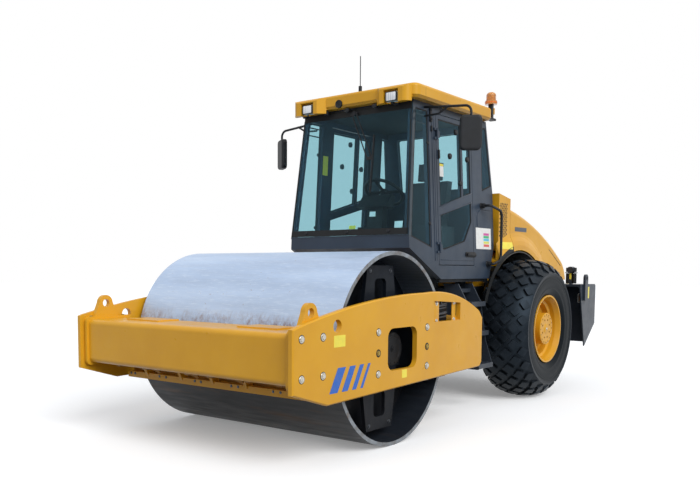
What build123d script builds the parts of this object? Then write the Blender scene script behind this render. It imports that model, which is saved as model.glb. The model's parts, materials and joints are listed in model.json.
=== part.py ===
"""Single-drum articulated road roller with a closed cab, as separate sub-parts.

Frame: +X forward (towards the drum), +Y left, +Z up, millimetres.
The origin lies on the ground under the middle of the machine's length.
"""

import os
from math import atan2, cos, degrees, hypot, pi, radians, sin, sqrt, tan

from build123d import *

# ---------------------------------------------------------------- whole machine
FRONT_X = 2940.0          # foremost face of the front frame
REAR_X = -2940.0          # rearmost face of the counterweight
DRUM_X = 1627.0           # drum axis
AXLE_X = -1366.0          # rear axle
PIVOT_X = 130.0           # articulation pivot, midway between drum and axle
JOINT_Z = 700.0           # height of the oscillation axis
RUN_FIT = 0.05            # radial clearance of a shaft in its bearing
SHAFT_GAP = 6.0           # axial play beside ears and discs

# ---------------------------------------------------------------- drum
DRUM_R = 750.0
DRUM_HALF = 1065.0
DRUM_END_GAP = 45.0       # between the drum's rim and the side plates
SHELL_T = 30.0
WEB_Y = 765.0             # outer face of the drum's end web
WEB_T = 30.0
EXCITER_R = 200.0
HUB_BOSS_R = 190.0
HUB_BOSS_L = 60.0
DRUM_SHAFT_R = 110.0

# ---------------------------------------------------------------- front frame
PLATE_T = 40.0
PLATE_IN = DRUM_HALF + DRUM_END_GAP
PLATE_OUT = PLATE_IN + PLATE_T
PLATE_EDGE = 9.0
PLATE_LOW_Z = 442.0
WINDOW_W = 410.0
WINDOW_H = 318.0
WINDOW_R = 70.0
WINDOW_Z = 763.0
TIE_X = 2471.0            # round lashing hole
TIE_Z = 975.0
TIE_R = 46.0
BEAM_BACK_X = 2483.0
BEAM_FRONT_X = 2888.0
BEAM_LOW_Z = 595.0
BEAM_TOP_Z = 946.0
BEAM_EDGE = 40.0
FLANGE_T = 45.0
FLANGE_LIP = 22.0
PAD_T = 10.0
CROSS_BACK_X = 527.0
CROSS_FRONT_X = 790.0
CROSS_LOW_Z = 505.0
CROSS_TOP_Z = 960.0
EAR_X = 2708.0            # lifting ear
EAR_Z = 1074.0
EAR_HOLE_R = 32.0
EAR_HEAD_R = 66.0
EAR_T = 38.0
CARRIER_Y = 915.0         # middle of the drum carrier plate
CARRIER_T = 30.0
CARRIER_R = 640.0
CARRIER_HALF_W = 175.0
BLOCK_X = 345.0           # mounting blocks each side of the drum axis
BLOCK_W = 100.0
BLOCK_Z = (590.0, 940.0)
MOTOR_R = 130.0
MOTOR_FACE_Y = 1045.0
SCRAPER_Z = 455.0
SCRAPER_T = 16.0
SCRAPER_GAP = 8.0
SCRAPER_INSET = 45.0      # scraper's end, inside the drum's rim
SCRAPER_HALF = DRUM_HALF - SCRAPER_INSET
SCRAPER_LIP = 34.0
SCRAPER_ARM_T = 28.0

# ---------------------------------------------------------------- centre joint
YOKE_R = 190.0
YOKE_FRONT_X = CROSS_BACK_X - 10.0
YOKE_HALF_H = 150.0
YOKE_HEAD_R = 110.0
OSC_SHAFT_R = 90.0
PIN_R = 45.0
ARM_R = 220.0             # steering arm radius about the pivot
ARM_ANGLE = 77.0          # steering arm's direction from straight ahead
CYL_Z = 700.0
CYL_REAR = (-520.0, 292.0)
CYL_R = 45.0
ROD_R = 25.0
EYE_R = 40.0
EYE_H = 50.0
LUG_T = 20.0
LUG_GAP = 6.0

# ---------------------------------------------------------------- rear frame
RAIL_IN = 385.0
RAIL_T = 30.0
RAIL_OUT = RAIL_IN + RAIL_T
RAIL_TAIL_Z = 620.0
RAIL_TOP_Z = 1180.0
RAIL_FRONT_X = -40.0
RAIL_BACK_X = -2433.0
TOWER_BACK_X = -160.0
TOWER_FRONT_X = -35.0
TOWER_HALF = 165.0
EAR_PLATE_T = 50.0
BUMPER_HALF = 1020.0
BUMPER_FRONT_X = -2433.0
BUMPER_TOP_Z = 1190.0
BUMPER_FOOT = (-2610.0, 455.0)     # lowest front corner of its side, X and Z
BUMPER_HEEL_Z = 715.0
BUMPER_SKIN = 14.0
BUMPER_MIDDLE_HALF = RAIL_OUT + 35.0     # solid middle that takes the rails' ends

# ---------------------------------------------------------------- rear wheels
TYRE_R = 735.0
TYRE_Y = 818.0            # middle of the tyre's width
TYRE_HALF = 292.0
RIM_HALF = 254.0
RIM_R = 343.0
RIM_LIP_R = 357.0
DISC_Y = 890.0
HUB_R = 168.0
HUB_FACE_Y = 1050.0
HUB_DEPTH = 60.0          # of the hub's closed end
SPINDLE_R = 70.0
TYRE_SECTION = (          # radius, distance out from the tyre's middle
    (RIM_R, RIM_HALF - 26.0),
    (RIM_R + 62.0, RIM_HALF + 18.0),
    (460.0, TYRE_HALF - 4.0),
    (520.0, TYRE_HALF),
    (580.0, TYRE_HALF - 5.0),
    (628.0, TYRE_HALF - 24.0),
    (662.0, TYRE_HALF - 50.0),
    (690.0, TYRE_HALF - 84.0),
    (713.0, TYRE_HALF - 134.0),
    (729.0, TYRE_HALF - 206.0),
    (TYRE_R, TYRE_HALF - 270.0),
)

# ---------------------------------------------------------------- cab
LEAN = 2.9                # inward lean of the cab's sides, degrees
SIDE_TOP_Y = 610.0        # side's outer face at the roof line
ROOF_Z = 2855.0
SIDE_T = 50.0
DOOR_T = 38.0
DOOR_GAP = 7.0
GLASS_T = 6.0
SCREEN_T = 8.0
FLOOR_Z = 1240.0
SILL_Z = 1270.0
SCREEN_LOW = (808.0, 1667.0)
SCREEN_TOP = (673.0, 2826.0)
NOSE = (808.0, 1550.0)
CAB_TOE = (257.0, 1270.0)
CAB_REAR = ((-733.0, 1270.0), (-853.0, 1600.0), (-853.0, 2150.0), (-743.0, 2855.0))
DOOR_X = (-403.0, 280.0)
DOOR_Z = (1405.0, 2783.0)
HINGE_OUT = 14.0          # door hinge axis, outside the door's face
DOOR_HINGE_Z = (1560.0, 2600.0)
KNUCKLE_R = 11.0
KNUCKLE_L = 60.0
DOOR_PIN_R = 5.0
KNUCKLE_PLAY = 1.0
ROOF_FRONT_X = 757.0
ROOF_BACK_X = -723.0
ROOF_HALF = 700.0
ROOF_LOW_Z = 2855.0
ROOF_TOP_Z = 2978.0
POD_REACH = 58.0          # lamp pods, in front of the roof
POD_LOW_Z = 2820.0
POD_TOP_Z = 2960.0
POD_Y = (290.0, 353.0, 592.0, 650.0)   # inner back, inner front, outer front, outer back
LAMP_Y = 471.0
LAMP_Z = 2870.0
LAMP_HALF_W = 58.0
LAMP_HALF_H = 43.0
LAMP_ROOM = 18.0          # between the lamp and its recess in the pod
BEACON_X = -770.0
BEACON_Y = 650.0
BEACON_Z = 3028.0
BEACON_R = 48.0
BEACON_H = 122.0
BEACON_FOOT_Z = ROOF_Z + 17.0
BEACON_FOOT_T = 20.0
ANTENNA_AT = (677.0, 50.0)
BEACON_RING_R = 60.0

RAIL_Y = 760.0            # grab rail's centre line
RAIL_BACK = -846.0
MIRROR_X = 474.0
MIRROR_Y = 1078.0
MIRROR_W = 190.0
MIRROR_H = 300.0
MIRROR_TOP_Z = 2690.0
MIRROR_TOE = 34.0         # each head turned outwards from straight ahead, degrees

# ---------------------------------------------------------------- hood
HOOD_HALF = 700.0
HOOD_T = 20.0
HOOD_FRONT_X = -1183.0
HOOD_LOW_Z = 1240.0
HOOD_CREST = ((-1183.0, 2014.0), (-1930.0, 1825.0), (-2628.0, 1504.0))
HOOD_TAIL = ((-2763.0, 1393.0), (-2825.0, 1262.0))
HOOD_EDGE = 60.0
ARCH_R = 835.0
FLARE_R = (888.0, 1030.0)  # where the flare's flat rim ends, and where its foot meets the side
FLARE_STEPS = 3
FLARE_OUT = 745.0
HOOD_HINGE = (-2785.0, 1255.0)
HINGE_PIN_R = 8.0
HINGE_HEAD_R = 16.0
HINGE_Y = 450.0
INTAKE_X = (-1178.0, -905.0)
INTAKE_LOW_Z = 1560.0
INTAKE_TOP_Z = (2105.0, 2147.0)   # rear, front
FENDER_R = 880.0
FENDER_LOW_Z = 1300.0

os.makedirs("parts", exist_ok=True)


# ================================================================ helpers
def block(x, y, z):
    """Box from its low and high corner values along each axis."""
    size = Box(x[1] - x[0], y[1] - y[0], z[1] - z[0])
    return Pos((x[0] + x[1]) / 2, (y[0] + y[1]) / 2, (z[0] + z[1]) / 2) * size


def side_prism(outline, y_low, y_high):
    """Solid from an outline in X and Z, between two values of Y."""
    plane = Plane(origin=(0, y_low, 0), x_dir=(1, 0, 0), z_dir=(0, -1, 0))
    return extrude(plane * face_of(outline), amount=-(y_high - y_low))


def top_prism(outline, z_low, z_high):
    """Solid from an outline in X and Y, between two values of Z."""
    return extrude(Plane.XY.offset(z_low) * face_of(outline), amount=z_high - z_low)


def face_of(outline):
    """Face from a list of corner points, or from edges already made."""
    if isinstance(outline, (list, tuple)):
        return make_face(Polyline(*outline, close=True))
    return make_face(outline)


def rod_y(x, z, radius, y_low, y_high):
    """Cylinder along Y."""
    return Pos(x, (y_low + y_high) / 2, z) * Rot(90, 0, 0) * Cylinder(radius, y_high - y_low)


def rod_x(y, z, radius, x_low, x_high):
    """Cylinder along X."""
    return Pos((x_low + x_high) / 2, y, z) * Rot(0, 90, 0) * Cylinder(radius, x_high - x_low)


def rod_z(x, y, radius, z_low, z_high):
    """Cylinder along Z."""
    return Pos(x, y, (z_low + z_high) / 2) * Cylinder(radius, z_high - z_low)


def tube(points, bends, radius):
    """Round bar along straight runs joined by arcs."""
    path = FilletPolyline(*points, radius=bends)
    return sweep(Plane(path @ 0, z_dir=path % 0) * Circle(radius), path=path)


def other_side(solid):
    return mirror(solid, about=Plane.XZ)


def both_sides(solid):
    return [solid, other_side(solid)]


def save(name, *pieces):
    """Write one node: a single solid, or several that don't touch."""
    solids = []
    for piece in pieces:
        solids.extend(piece.solids())
    shape = solids[0] if len(solids) == 1 else Compound(solids)
    export_step(shape, f"parts/{name}.step")


# ================================================================ drum
def build_drum():
    ring = rod_y(DRUM_X, DRUM_R, DRUM_R, -DRUM_HALF, DRUM_HALF)
    inner_r = DRUM_R - SHELL_T
    ring -= rod_y(DRUM_X, DRUM_R, inner_r, -DRUM_HALF - 1, DRUM_HALF + 1)
    save("drum_shell", ring)

    spool = rod_y(DRUM_X, DRUM_R, EXCITER_R, -WEB_Y + WEB_T, WEB_Y - WEB_T)
    for side in (-1, 1):
        faces = sorted((side * (WEB_Y - WEB_T), side * WEB_Y))
        spool += rod_y(DRUM_X, DRUM_R, inner_r, *faces)
        boss = sorted((side * WEB_Y, side * (WEB_Y + HUB_BOSS_L)))
        spool += rod_y(DRUM_X, DRUM_R, HUB_BOSS_R, *boss)
        bore = sorted((side * (WEB_Y - 80), side * (WEB_Y + HUB_BOSS_L + 1)))
        spool -= rod_y(DRUM_X, DRUM_R, DRUM_SHAFT_R + RUN_FIT, *bore)
    save("drum_webs", spool)


# ================================================================ front frame
def plate_outline():
    """Side plate: straight foot, arched back and a cropped rear end."""
    start = (FRONT_X, 975.0)
    brow = (2906.0, 987.0)
    crown = (1295.0, 1177.0)
    heel = (383.0, 1003.0)
    return [
        Line(start, brow),
        ThreePointArc(brow, (2048.0, 1134.0), crown),
        ThreePointArc(crown, (736.0, 1131.0), heel),
        Polyline(heel, (322.0, 940.0), (322.0, 540.0), (360.0, 503.0),
                 (2577.0, PLATE_LOW_Z), (FRONT_X, 552.0), start),
    ]


def build_side_plates():
    plate = side_prism(Curve(plate_outline()), PLATE_IN, PLATE_OUT)
    rim = plate.faces().sort_by(Axis.Y)[-1].outer_wire().edges()
    plate = chamfer(rim, PLATE_EDGE)
    window = Rectangle(WINDOW_W, WINDOW_H)
    window = fillet(window.vertices(), WINDOW_R)
    at_window = Plane(origin=(DRUM_X + 15, PLATE_IN - 1, WINDOW_Z), x_dir=(1, 0, 0), z_dir=(0, -1, 0))
    plate -= extrude(at_window * window, amount=-(PLATE_T + 2))
    hatch = [(738.0, 938.0), (1174.0, 938.0), (1174.0, 1108.0), (738.0, 1082.0)]
    plate -= side_prism(hatch, PLATE_IN - 1, PLATE_OUT + 1)
    plate -= rod_y(TIE_X, TIE_Z, TIE_R, PLATE_IN - 1, PLATE_OUT + 1)
    save("side_plate_left", plate)
    save("side_plate_right", other_side(plate))


def build_front_beam():
    end = PLATE_IN - FLANGE_T
    beam = block((BEAM_BACK_X, BEAM_FRONT_X), (-end, end), (BEAM_LOW_Z, BEAM_TOP_Z))
    long_edges = beam.edges().filter_by(Axis.Y).sort_by(Axis.X)[-2:]
    beam = fillet(long_edges, BEAM_EDGE)
    # two plates per end make the bolted flange
    for step, lip in ((0.0, FLANGE_LIP), (FLANGE_T / 2, FLANGE_LIP * 0.4)):
        for side in (-1, 1):
            span = sorted((side * (end + step), side * (end + step + FLANGE_T / 2)))
            flange = block((BEAM_BACK_X - lip, BEAM_FRONT_X + lip), span,
                           (BEAM_LOW_Z - FLANGE_LIP, BEAM_TOP_Z + FLANGE_LIP))
            beam += fillet(flange.edges().filter_by(Axis.Y).sort_by(Axis.X)[-2:], BEAM_EDGE)
    for side in (-1, 1):
        span = sorted((side * 430.0, side * 810.0))
        beam += block((BEAM_BACK_X, BEAM_BACK_X + 220), span, (BEAM_TOP_Z - 5, BEAM_TOP_Z + PAD_T))
    save("front_beam", beam)


def build_crossmember():
    cross = block((CROSS_BACK_X, CROSS_FRONT_X), (-PLATE_IN, PLATE_IN), (CROSS_LOW_Z, CROSS_TOP_Z))
    cross = fillet(cross.edges().filter_by(Axis.Y), 25)
    cross += rod_x(0, JOINT_Z, OSC_SHAFT_R, PIVOT_X + YOKE_HEAD_R + 30, CROSS_BACK_X + 1)
    save("rear_crossmember", cross)


def build_lifting_ears():
    head = Pos(EAR_X, EAR_Z) * Circle(EAR_HEAD_R)
    foot_z = BEAM_TOP_Z + FLANGE_LIP
    foot = make_face(Polyline((EAR_X - 115, foot_z), (EAR_X + 115, foot_z),
                              (EAR_X + EAR_HEAD_R - 3, EAR_Z + 12),
                              (EAR_X - EAR_HEAD_R + 3, EAR_Z + 12), close=True))
    face = head + foot - Pos(EAR_X, EAR_Z) * Circle(EAR_HOLE_R)
    plane = Plane(origin=(0, PLATE_IN - EAR_T, 0), x_dir=(1, 0, 0), z_dir=(0, -1, 0))
    ear = extrude(plane * face, amount=-EAR_T)
    save("front_lifting_ears", *both_sides(ear))


def build_drum_carriers():
    low, high = CARRIER_Y - CARRIER_T / 2, CARRIER_Y + CARRIER_T / 2
    tall = [(-CARRIER_HALF_W, -CARRIER_R), (CARRIER_HALF_W, -CARRIER_R),
            (CARRIER_HALF_W + 60, -CARRIER_HALF_W * 1.6), (CARRIER_HALF_W + 60, CARRIER_HALF_W * 1.6),
            (CARRIER_HALF_W, CARRIER_R), (-CARRIER_HALF_W, CARRIER_R),
            (-CARRIER_HALF_W - 60, CARRIER_HALF_W * 1.6), (-CARRIER_HALF_W - 60, -CARRIER_HALF_W * 1.6)]
    plate = side_prism([(DRUM_X + x, DRUM_R + z) for x, z in tall], low, high)
    wide = (DRUM_X - BLOCK_X - BLOCK_W / 2, DRUM_X + BLOCK_X + BLOCK_W / 2)
    plate += block(wide, (low, high), BLOCK_Z)
    for side in (-1, 1):
        slot = Rectangle(CARRIER_HALF_W * 0.9, 200)
        slot = fillet(slot.vertices(), 40)
        plane = Plane(origin=(DRUM_X, low - 1, DRUM_R + side * 440), x_dir=(1, 0, 0), z_dir=(0, -1, 0))
        plate -= extrude(plane * slot, amount=-(CARRIER_T + 2))
        x = DRUM_X + side * BLOCK_X
        plate += block((x - BLOCK_W / 2, x + BLOCK_W / 2), (high - 1, PLATE_IN), BLOCK_Z)
    plate += rod_y(DRUM_X, DRUM_R, MOTOR_R, high - 1, MOTOR_FACE_Y)
    plate += rod_y(DRUM_X, DRUM_R, DRUM_SHAFT_R, WEB_Y - 60, low + 1)
    save("drum_carriers", *both_sides(plate))


def build_scrapers():
    drop = DRUM_R - SCRAPER_Z
    reach = sqrt(DRUM_R ** 2 - drop ** 2) + SCRAPER_GAP
    low, high = SCRAPER_Z - SCRAPER_T / 2, SCRAPER_Z + SCRAPER_T / 2
    front_x, lip_x = BEAM_BACK_X + 47, BEAM_BACK_X - 43
    front = block((DRUM_X + reach, front_x), (-SCRAPER_HALF, SCRAPER_HALF), (low, high))
    front += block((lip_x, front_x), (-SCRAPER_HALF, SCRAPER_HALF), (high - 1, high + SCRAPER_LIP))
    for y in (-770.0, -355.0, 0.0, 355.0, 770.0):
        arm = [(lip_x, high), (front_x - 5, high), (front_x + 60, BEAM_LOW_Z), (lip_x + 60, BEAM_LOW_Z)]
        front += side_prism(arm, y - SCRAPER_ARM_T / 2, y + SCRAPER_ARM_T / 2)
    back_x = CROSS_FRONT_X - 40
    rear = block((back_x, DRUM_X - reach), (-SCRAPER_HALF, SCRAPER_HALF), (low, high))
    for y in (-770.0, 0.0, 770.0):
        arm = [(back_x + 5, high - 1), (back_x + 95, high - 1),
               (back_x + 25, CROSS_LOW_Z), (back_x - 50, CROSS_LOW_Z)]
        rear += side_prism(arm, y - SCRAPER_ARM_T / 2, y + SCRAPER_ARM_T / 2)
    save("drum_scrapers", front, rear)


# ================================================================ centre joint
def arm_point(side):
    """Steering arm's pin centre on one side, straight ahead."""
    angle = radians(ARM_ANGLE)
    return PIVOT_X + ARM_R * cos(angle), side * ARM_R * sin(angle)


def build_yoke():
    low, high = JOINT_Z - YOKE_HALF_H, JOINT_Z + YOKE_HALF_H
    head = rod_z(PIVOT_X, 0, YOKE_HEAD_R, low, high)
    neck = block((PIVOT_X, YOKE_FRONT_X - 200), (-YOKE_HEAD_R, YOKE_HEAD_R), (low, high))
    barrel = rod_x(0, JOINT_Z, YOKE_R, YOKE_FRONT_X - 215, YOKE_FRONT_X)
    yoke = head + neck + barrel
    for side in (-1, 1):
        x, y = arm_point(side)
        for z in (CYL_Z - EYE_H / 2 - LUG_GAP - LUG_T, CYL_Z + EYE_H / 2 + LUG_GAP):
            inner = side * YOKE_HEAD_R * 0.5
            lug = top_prism([(PIVOT_X - 40, inner), (x - EYE_R, y), (x + EYE_R, y), (PIVOT_X + 160, inner)],
                            z, z + LUG_T)
            yoke += lug + rod_z(x, y, EYE_R, z, z + LUG_T)
    yoke -= rod_z(PIVOT_X, 0, PIN_R + RUN_FIT, low - 1, high + 1)
    yoke -= rod_x(0, JOINT_Z, OSC_SHAFT_R + RUN_FIT, PIVOT_X + YOKE_HEAD_R + 20, YOKE_FRONT_X + 1)
    save("articulation_yoke", yoke)


def build_steering_cylinders():
    for side, name in ((1, "left"), (-1, "right")):
        rear_x, rear_y = CYL_REAR[0], side * CYL_REAR[1]
        eye_x, eye_y = arm_point(side)
        length = hypot(eye_x - rear_x, eye_y - rear_y)
        turn = degrees(atan2(eye_y - rear_y, eye_x - rear_x))
        place = Pos(rear_x, rear_y, CYL_Z) * Rot(0, 0, turn)
        tail = EYE_R + 15
        head = length * 0.66
        barrel = rod_x(0, 0, CYL_R, tail, head)
        barrel += rod_z(0, 0, EYE_R, -EYE_H / 2, EYE_H / 2)
        barrel += block((0, tail + 5), (-EYE_R * 0.6, EYE_R * 0.6), (-EYE_H / 2, EYE_H / 2))
        barrel -= rod_x(0, 0, ROD_R + RUN_FIT, tail + 25, head + 1)
        barrel -= rod_z(0, 0, PIN_R * 0.4 + RUN_FIT, -EYE_H, EYE_H)
        save(f"steering_barrel_{name}", place * barrel)
        rod = rod_x(0, 0, ROD_R, length - 420, length - EYE_R + 5)
        rod += Pos(length, 0, 0) * Cylinder(EYE_R, EYE_H)
        save(f"steering_rod_{name}", place * rod)


# ================================================================ rear frame
def build_rear_frame():
    rail = [(RAIL_FRONT_X, RAIL_TOP_Z), (RAIL_BACK_X, RAIL_TOP_Z),
            (RAIL_BACK_X, RAIL_TAIL_Z), (-1880, RAIL_TAIL_Z),
            (-1760, 880), (-960, 880), (-820, 460), (RAIL_FRONT_X, 460)]
    frame = side_prism(rail, RAIL_IN, RAIL_OUT) + side_prism(rail, -RAIL_OUT, -RAIL_IN)
    # cross plates tie the rails together at the joint, behind the tanks and at the tail
    for x, z in (((TOWER_BACK_X, TOWER_FRONT_X), (935, 965)), ((TOWER_BACK_X, TOWER_FRONT_X), (460, 490)),
                 ((-900, -870), (640, 1120)), ((-2433, -2403), (640, 1120)), ((-2100, -2060), (1000, 1120))):
        frame += block(x, (-RAIL_IN - 1, RAIL_IN + 1), z)
    tower = block((TOWER_BACK_X, TOWER_FRONT_X), (-TOWER_HALF, TOWER_HALF), (460, 965))
    frame += tower
    low, high = JOINT_Z - YOKE_HALF_H - SHAFT_GAP, JOINT_Z + YOKE_HALF_H + SHAFT_GAP
    for z in ((low - EAR_PLATE_T, low), (high, high + EAR_PLATE_T)):
        frame += block((TOWER_FRONT_X - 1, PIVOT_X), (-YOKE_HEAD_R, YOKE_HEAD_R), z)
        frame += rod_z(PIVOT_X, 0, YOKE_HEAD_R, *z)
    frame += rod_z(PIVOT_X, 0, PIN_R, low - EAR_PLATE_T, high + EAR_PLATE_T)
    frame += rod_z(PIVOT_X, 0, PIN_R + 25, high + EAR_PLATE_T - 1, high + EAR_PLATE_T + 16)
    # clevis lugs and pins that hold the steering cylinders' tails
    for side in (-1, 1):
        x, y = CYL_REAR[0], side * CYL_REAR[1]
        for z in (CYL_Z - EYE_H / 2 - LUG_GAP - LUG_T, CYL_Z + EYE_H / 2 + LUG_GAP):
            edge = side * (RAIL_IN + 1)
            lug = top_prism([(x - 70, edge), (x - EYE_R, y), (x + EYE_R, y), (x + 70, edge)], z, z + LUG_T)
            frame += lug + rod_z(x, y, EYE_R, z, z + LUG_T)
        frame += rod_z(x, y, PIN_R * 0.4, CYL_Z - EYE_H, CYL_Z + EYE_H)
    save("rear_frame", frame)


def build_axle():
    axle = rod_y(AXLE_X, TYRE_R, 105, -470, 470)
    axle += Pos(AXLE_X, 0, TYRE_R) * Sphere(185)
    axle += rod_x(0, TYRE_R, 90, AXLE_X, AXLE_X + 260)
    for side in (-1, 1):
        flange = sorted((side * 455, side * 500))
        axle += rod_y(AXLE_X, TYRE_R, 190, *flange)
        spindle = sorted((side * 499, side * (HUB_FACE_Y - HUB_DEPTH - 15)))
        axle += rod_y(AXLE_X, TYRE_R, SPINDLE_R, *spindle)
        seat = sorted((side * (RAIL_IN - 25), side * (RAIL_OUT + 25)))
        axle += block((AXLE_X - 130, AXLE_X + 130), seat, (TYRE_R + 40, 880))
    save("rear_axle", axle)


def build_bumper():
    outline = [(BUMPER_FRONT_X, BUMPER_TOP_Z), (REAR_X, BUMPER_TOP_Z), (REAR_X, BUMPER_HEEL_Z), BUMPER_FOOT,
               (BUMPER_FRONT_X, BUMPER_TOP_Z - 60)]
    slab = side_prism(outline, -BUMPER_HALF, BUMPER_HALF)
    rear_top = slab.edges().filter_by(Axis.Y).sort_by(Axis.X)[:2].sort_by(Axis.Z)[-1]
    slab = fillet(rear_top, 40)
    # the front is scooped out beside the frame, which leaves a skin at the side and top
    for side in (-1, 1):
        span = sorted((side * BUMPER_MIDDLE_HALF, side * (BUMPER_HALF - BUMPER_SKIN)))
        scoop = block((BUMPER_FOOT[0] - 60, BUMPER_FRONT_X + 1), span, (400, BUMPER_TOP_Z - 26))
        slab -= fillet(scoop.edges().filter_by(Axis.X).sort_by(Axis.Z)[-2:], 35)
    # between the scoops the front is filled out to the ends of the frame's rails
    slab += block((BUMPER_FOOT[0], BUMPER_FRONT_X), (-BUMPER_MIDDLE_HALF, BUMPER_MIDDLE_HALF),
                  (RAIL_TAIL_Z, BUMPER_TOP_Z - 1))
    hx, hz = HOOD_HINGE
    for side in (-1, 1):
        span = sorted((side * (HINGE_Y - 10), side * (HINGE_Y + 10)))
        slab += block((hx - HINGE_HEAD_R, hx + HINGE_HEAD_R), span, (BUMPER_TOP_Z - 1, hz))
        slab += rod_y(hx, hz, HINGE_HEAD_R, *span)
        pin = sorted((side * (HINGE_Y - 10), side * (HINGE_Y + 40)))
        slab += rod_y(hx, hz, HINGE_PIN_R, *pin)
    save("counterweight", slab)


def build_rear_lugs():
    lug = [(-2605, 1000), (-2515, 1000), (-2515, 1262), (-2605, 1262)]
    ear = side_prism(lug, BUMPER_HALF, BUMPER_HALF + 28)
    ear += rod_y(-2560, 1262, 45, BUMPER_HALF, BUMPER_HALF + 28)
    ear -= rod_y(-2560, 1262, 24, BUMPER_HALF - 1, BUMPER_HALF + 29)
    post = block((-2540, -2490), (860, 890), (BUMPER_TOP_Z, 1395))
    post += rod_x(875, 1360, 38, -2562, -2468)
    save("rear_lugs", *both_sides(ear), *both_sides(post))


def build_engine():
    motor = block((-2040, -1330), (-290, 290), (1010, 1620))
    motor += block((-2030, -1960), (-RAIL_IN, RAIL_IN), (1060, 1120))
    motor += block((-1420, -1350), (-RAIL_IN, RAIL_IN), (1060, 1120))
    save("engine", motor)
    save("radiator", block((-2380, -2230), (-480, 480), (RAIL_TOP_Z, 1530)))


def build_tanks():
    tank = block((-640, -90), (RAIL_OUT, 528), (640, 1120))
    tank = fillet(tank.edges().filter_by(Axis.X), 30)
    save("side_tanks", *both_sides(tank))


STEP_ROWS = (  # tread's middle height, outer Y
    (1025.0, 812.0),
    (742.0, 852.0),
    (430.0, 905.0),
)


def build_steps():
    tread_t, depth, back_x, front_x = 46.0, 170.0, -417.0, -120.0
    edge = [(665.0, 1222.0), (762.0, 1048.0), (822.0, 670.0), (897.0, 445.0), (897.0, 400.0)]
    inner = [(y - depth, z) for y, z in reversed(edge)]
    stringer = make_face(Polyline(*edge, *inner, close=True))
    unit = None
    for x in (back_x, front_x - 12):
        plate = extrude(Plane(origin=(x, 0, 0), x_dir=(0, 1, 0), z_dir=(1, 0, 0)) * stringer, amount=12)
        unit = plate if unit is None else unit + plate
    for z, y in STEP_ROWS:
        unit += block((back_x, front_x), (y - depth, y), (z - tread_t / 2, z + tread_t / 2))
    hanger = block((back_x, front_x), (RAIL_OUT, 650), (1135, 1172))
    unit += hanger
    save("access_steps", *both_sides(unit))


# ================================================================ wheels
def ring_section(points):
    """Solid of revolution about the axle from radius and Y pairs, left side."""
    plane = Plane(origin=(AXLE_X, 0, TYRE_R), x_dir=(0, 0, 1), z_dir=(1, 0, 0))
    face = plane * make_face(Polyline(*[(r, -y) for r, y in points], close=True))
    return revolve(face, axis=Axis((AXLE_X, 0, TYRE_R), (0, 1, 0)))


def build_wheels():
    outer = [(r, TYRE_Y + out) for r, out in TYRE_SECTION]
    inner = [(r, TYRE_Y - out) for r, out in reversed(TYRE_SECTION)]
    tyre = ring_section(outer + inner)
    lip_out, lip_in = TYRE_Y + RIM_HALF, TYRE_Y - RIM_HALF
    profile = [
        (RIM_LIP_R, lip_out), (RIM_LIP_R - 16, lip_out), (RIM_R - 26, lip_out - 50),
        (RIM_R - 34, lip_out - 90), (RIM_R - 58, lip_out - 104), (RIM_R - 62, DISC_Y + 20),
        (HUB_R + 50, DISC_Y), (HUB_R, DISC_Y - 6), (HUB_R, HUB_FACE_Y), (0, HUB_FACE_Y),
        (0, HUB_FACE_Y - HUB_DEPTH), (SPINDLE_R + RUN_FIT, HUB_FACE_Y - HUB_DEPTH),
        (SPINDLE_R + RUN_FIT, DISC_Y - 90),
        (HUB_R - 20, DISC_Y - 90), (HUB_R, DISC_Y - 30),
        (RIM_R - 82, DISC_Y - 30), (RIM_R - 78, DISC_Y - 60), (RIM_R - 26, DISC_Y - 90),
        (RIM_R - 26, lip_in + 26), (RIM_LIP_R - 16, lip_in), (RIM_LIP_R, lip_in),
        (RIM_LIP_R, lip_in + 12), (RIM_R, lip_in + 26), (RIM_R, lip_out - 26), (RIM_LIP_R, lip_out - 12),
    ]
    rim = ring_section(profile)
    tyre -= rim
    for name, turn in (("left", lambda s: s), ("right", other_side)):
        save(f"tyre_{name}", turn(tyre))
        save(f"wheel_rim_{name}", turn(rim))


# ================================================================ cab
def side_plane():
    """Leaning plane of the cab's left side; local X is X, local Y goes up the panel."""
    lean = radians(LEAN)
    return Plane(origin=(0, SIDE_TOP_Y, ROOF_Z), x_dir=(1, 0, 0), z_dir=(0, -cos(lean), -sin(lean)))


def side_panel(outline, depth_from, thickness):
    """Panel in the leaning side, its outer face depth_from inside the cab's outer face."""
    tall = [(x, (z - ROOF_Z) / cos(radians(LEAN))) for x, z in outline]
    face = side_plane() * make_face(Polyline(*tall, close=True))
    plane_n = side_plane().z_dir
    panel = extrude(face, amount=thickness)
    return Pos(plane_n * depth_from) * panel


def behind_side():
    """Everything inside the left side's outer face, for trimming what is bolted to it."""
    reach = NOSE[0] * 2
    low, high = FLOOR_Z - 240, ROOF_Z + 345
    return side_panel([(-reach, low), (reach, low), (reach, high), (-reach, high)], 0, 300)


def side_y(z):
    """Outer face of the cab's left side at a height."""
    return SIDE_TOP_Y + (ROOF_Z - z) * tan(radians(LEAN))


def screen_x(z):
    """Line of the windscreen's outer face at a height."""
    (x0, z0), (x1, z1) = SCREEN_LOW, SCREEN_TOP
    return x0 + (x1 - x0) * (z - z0) / (z1 - z0)


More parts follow.
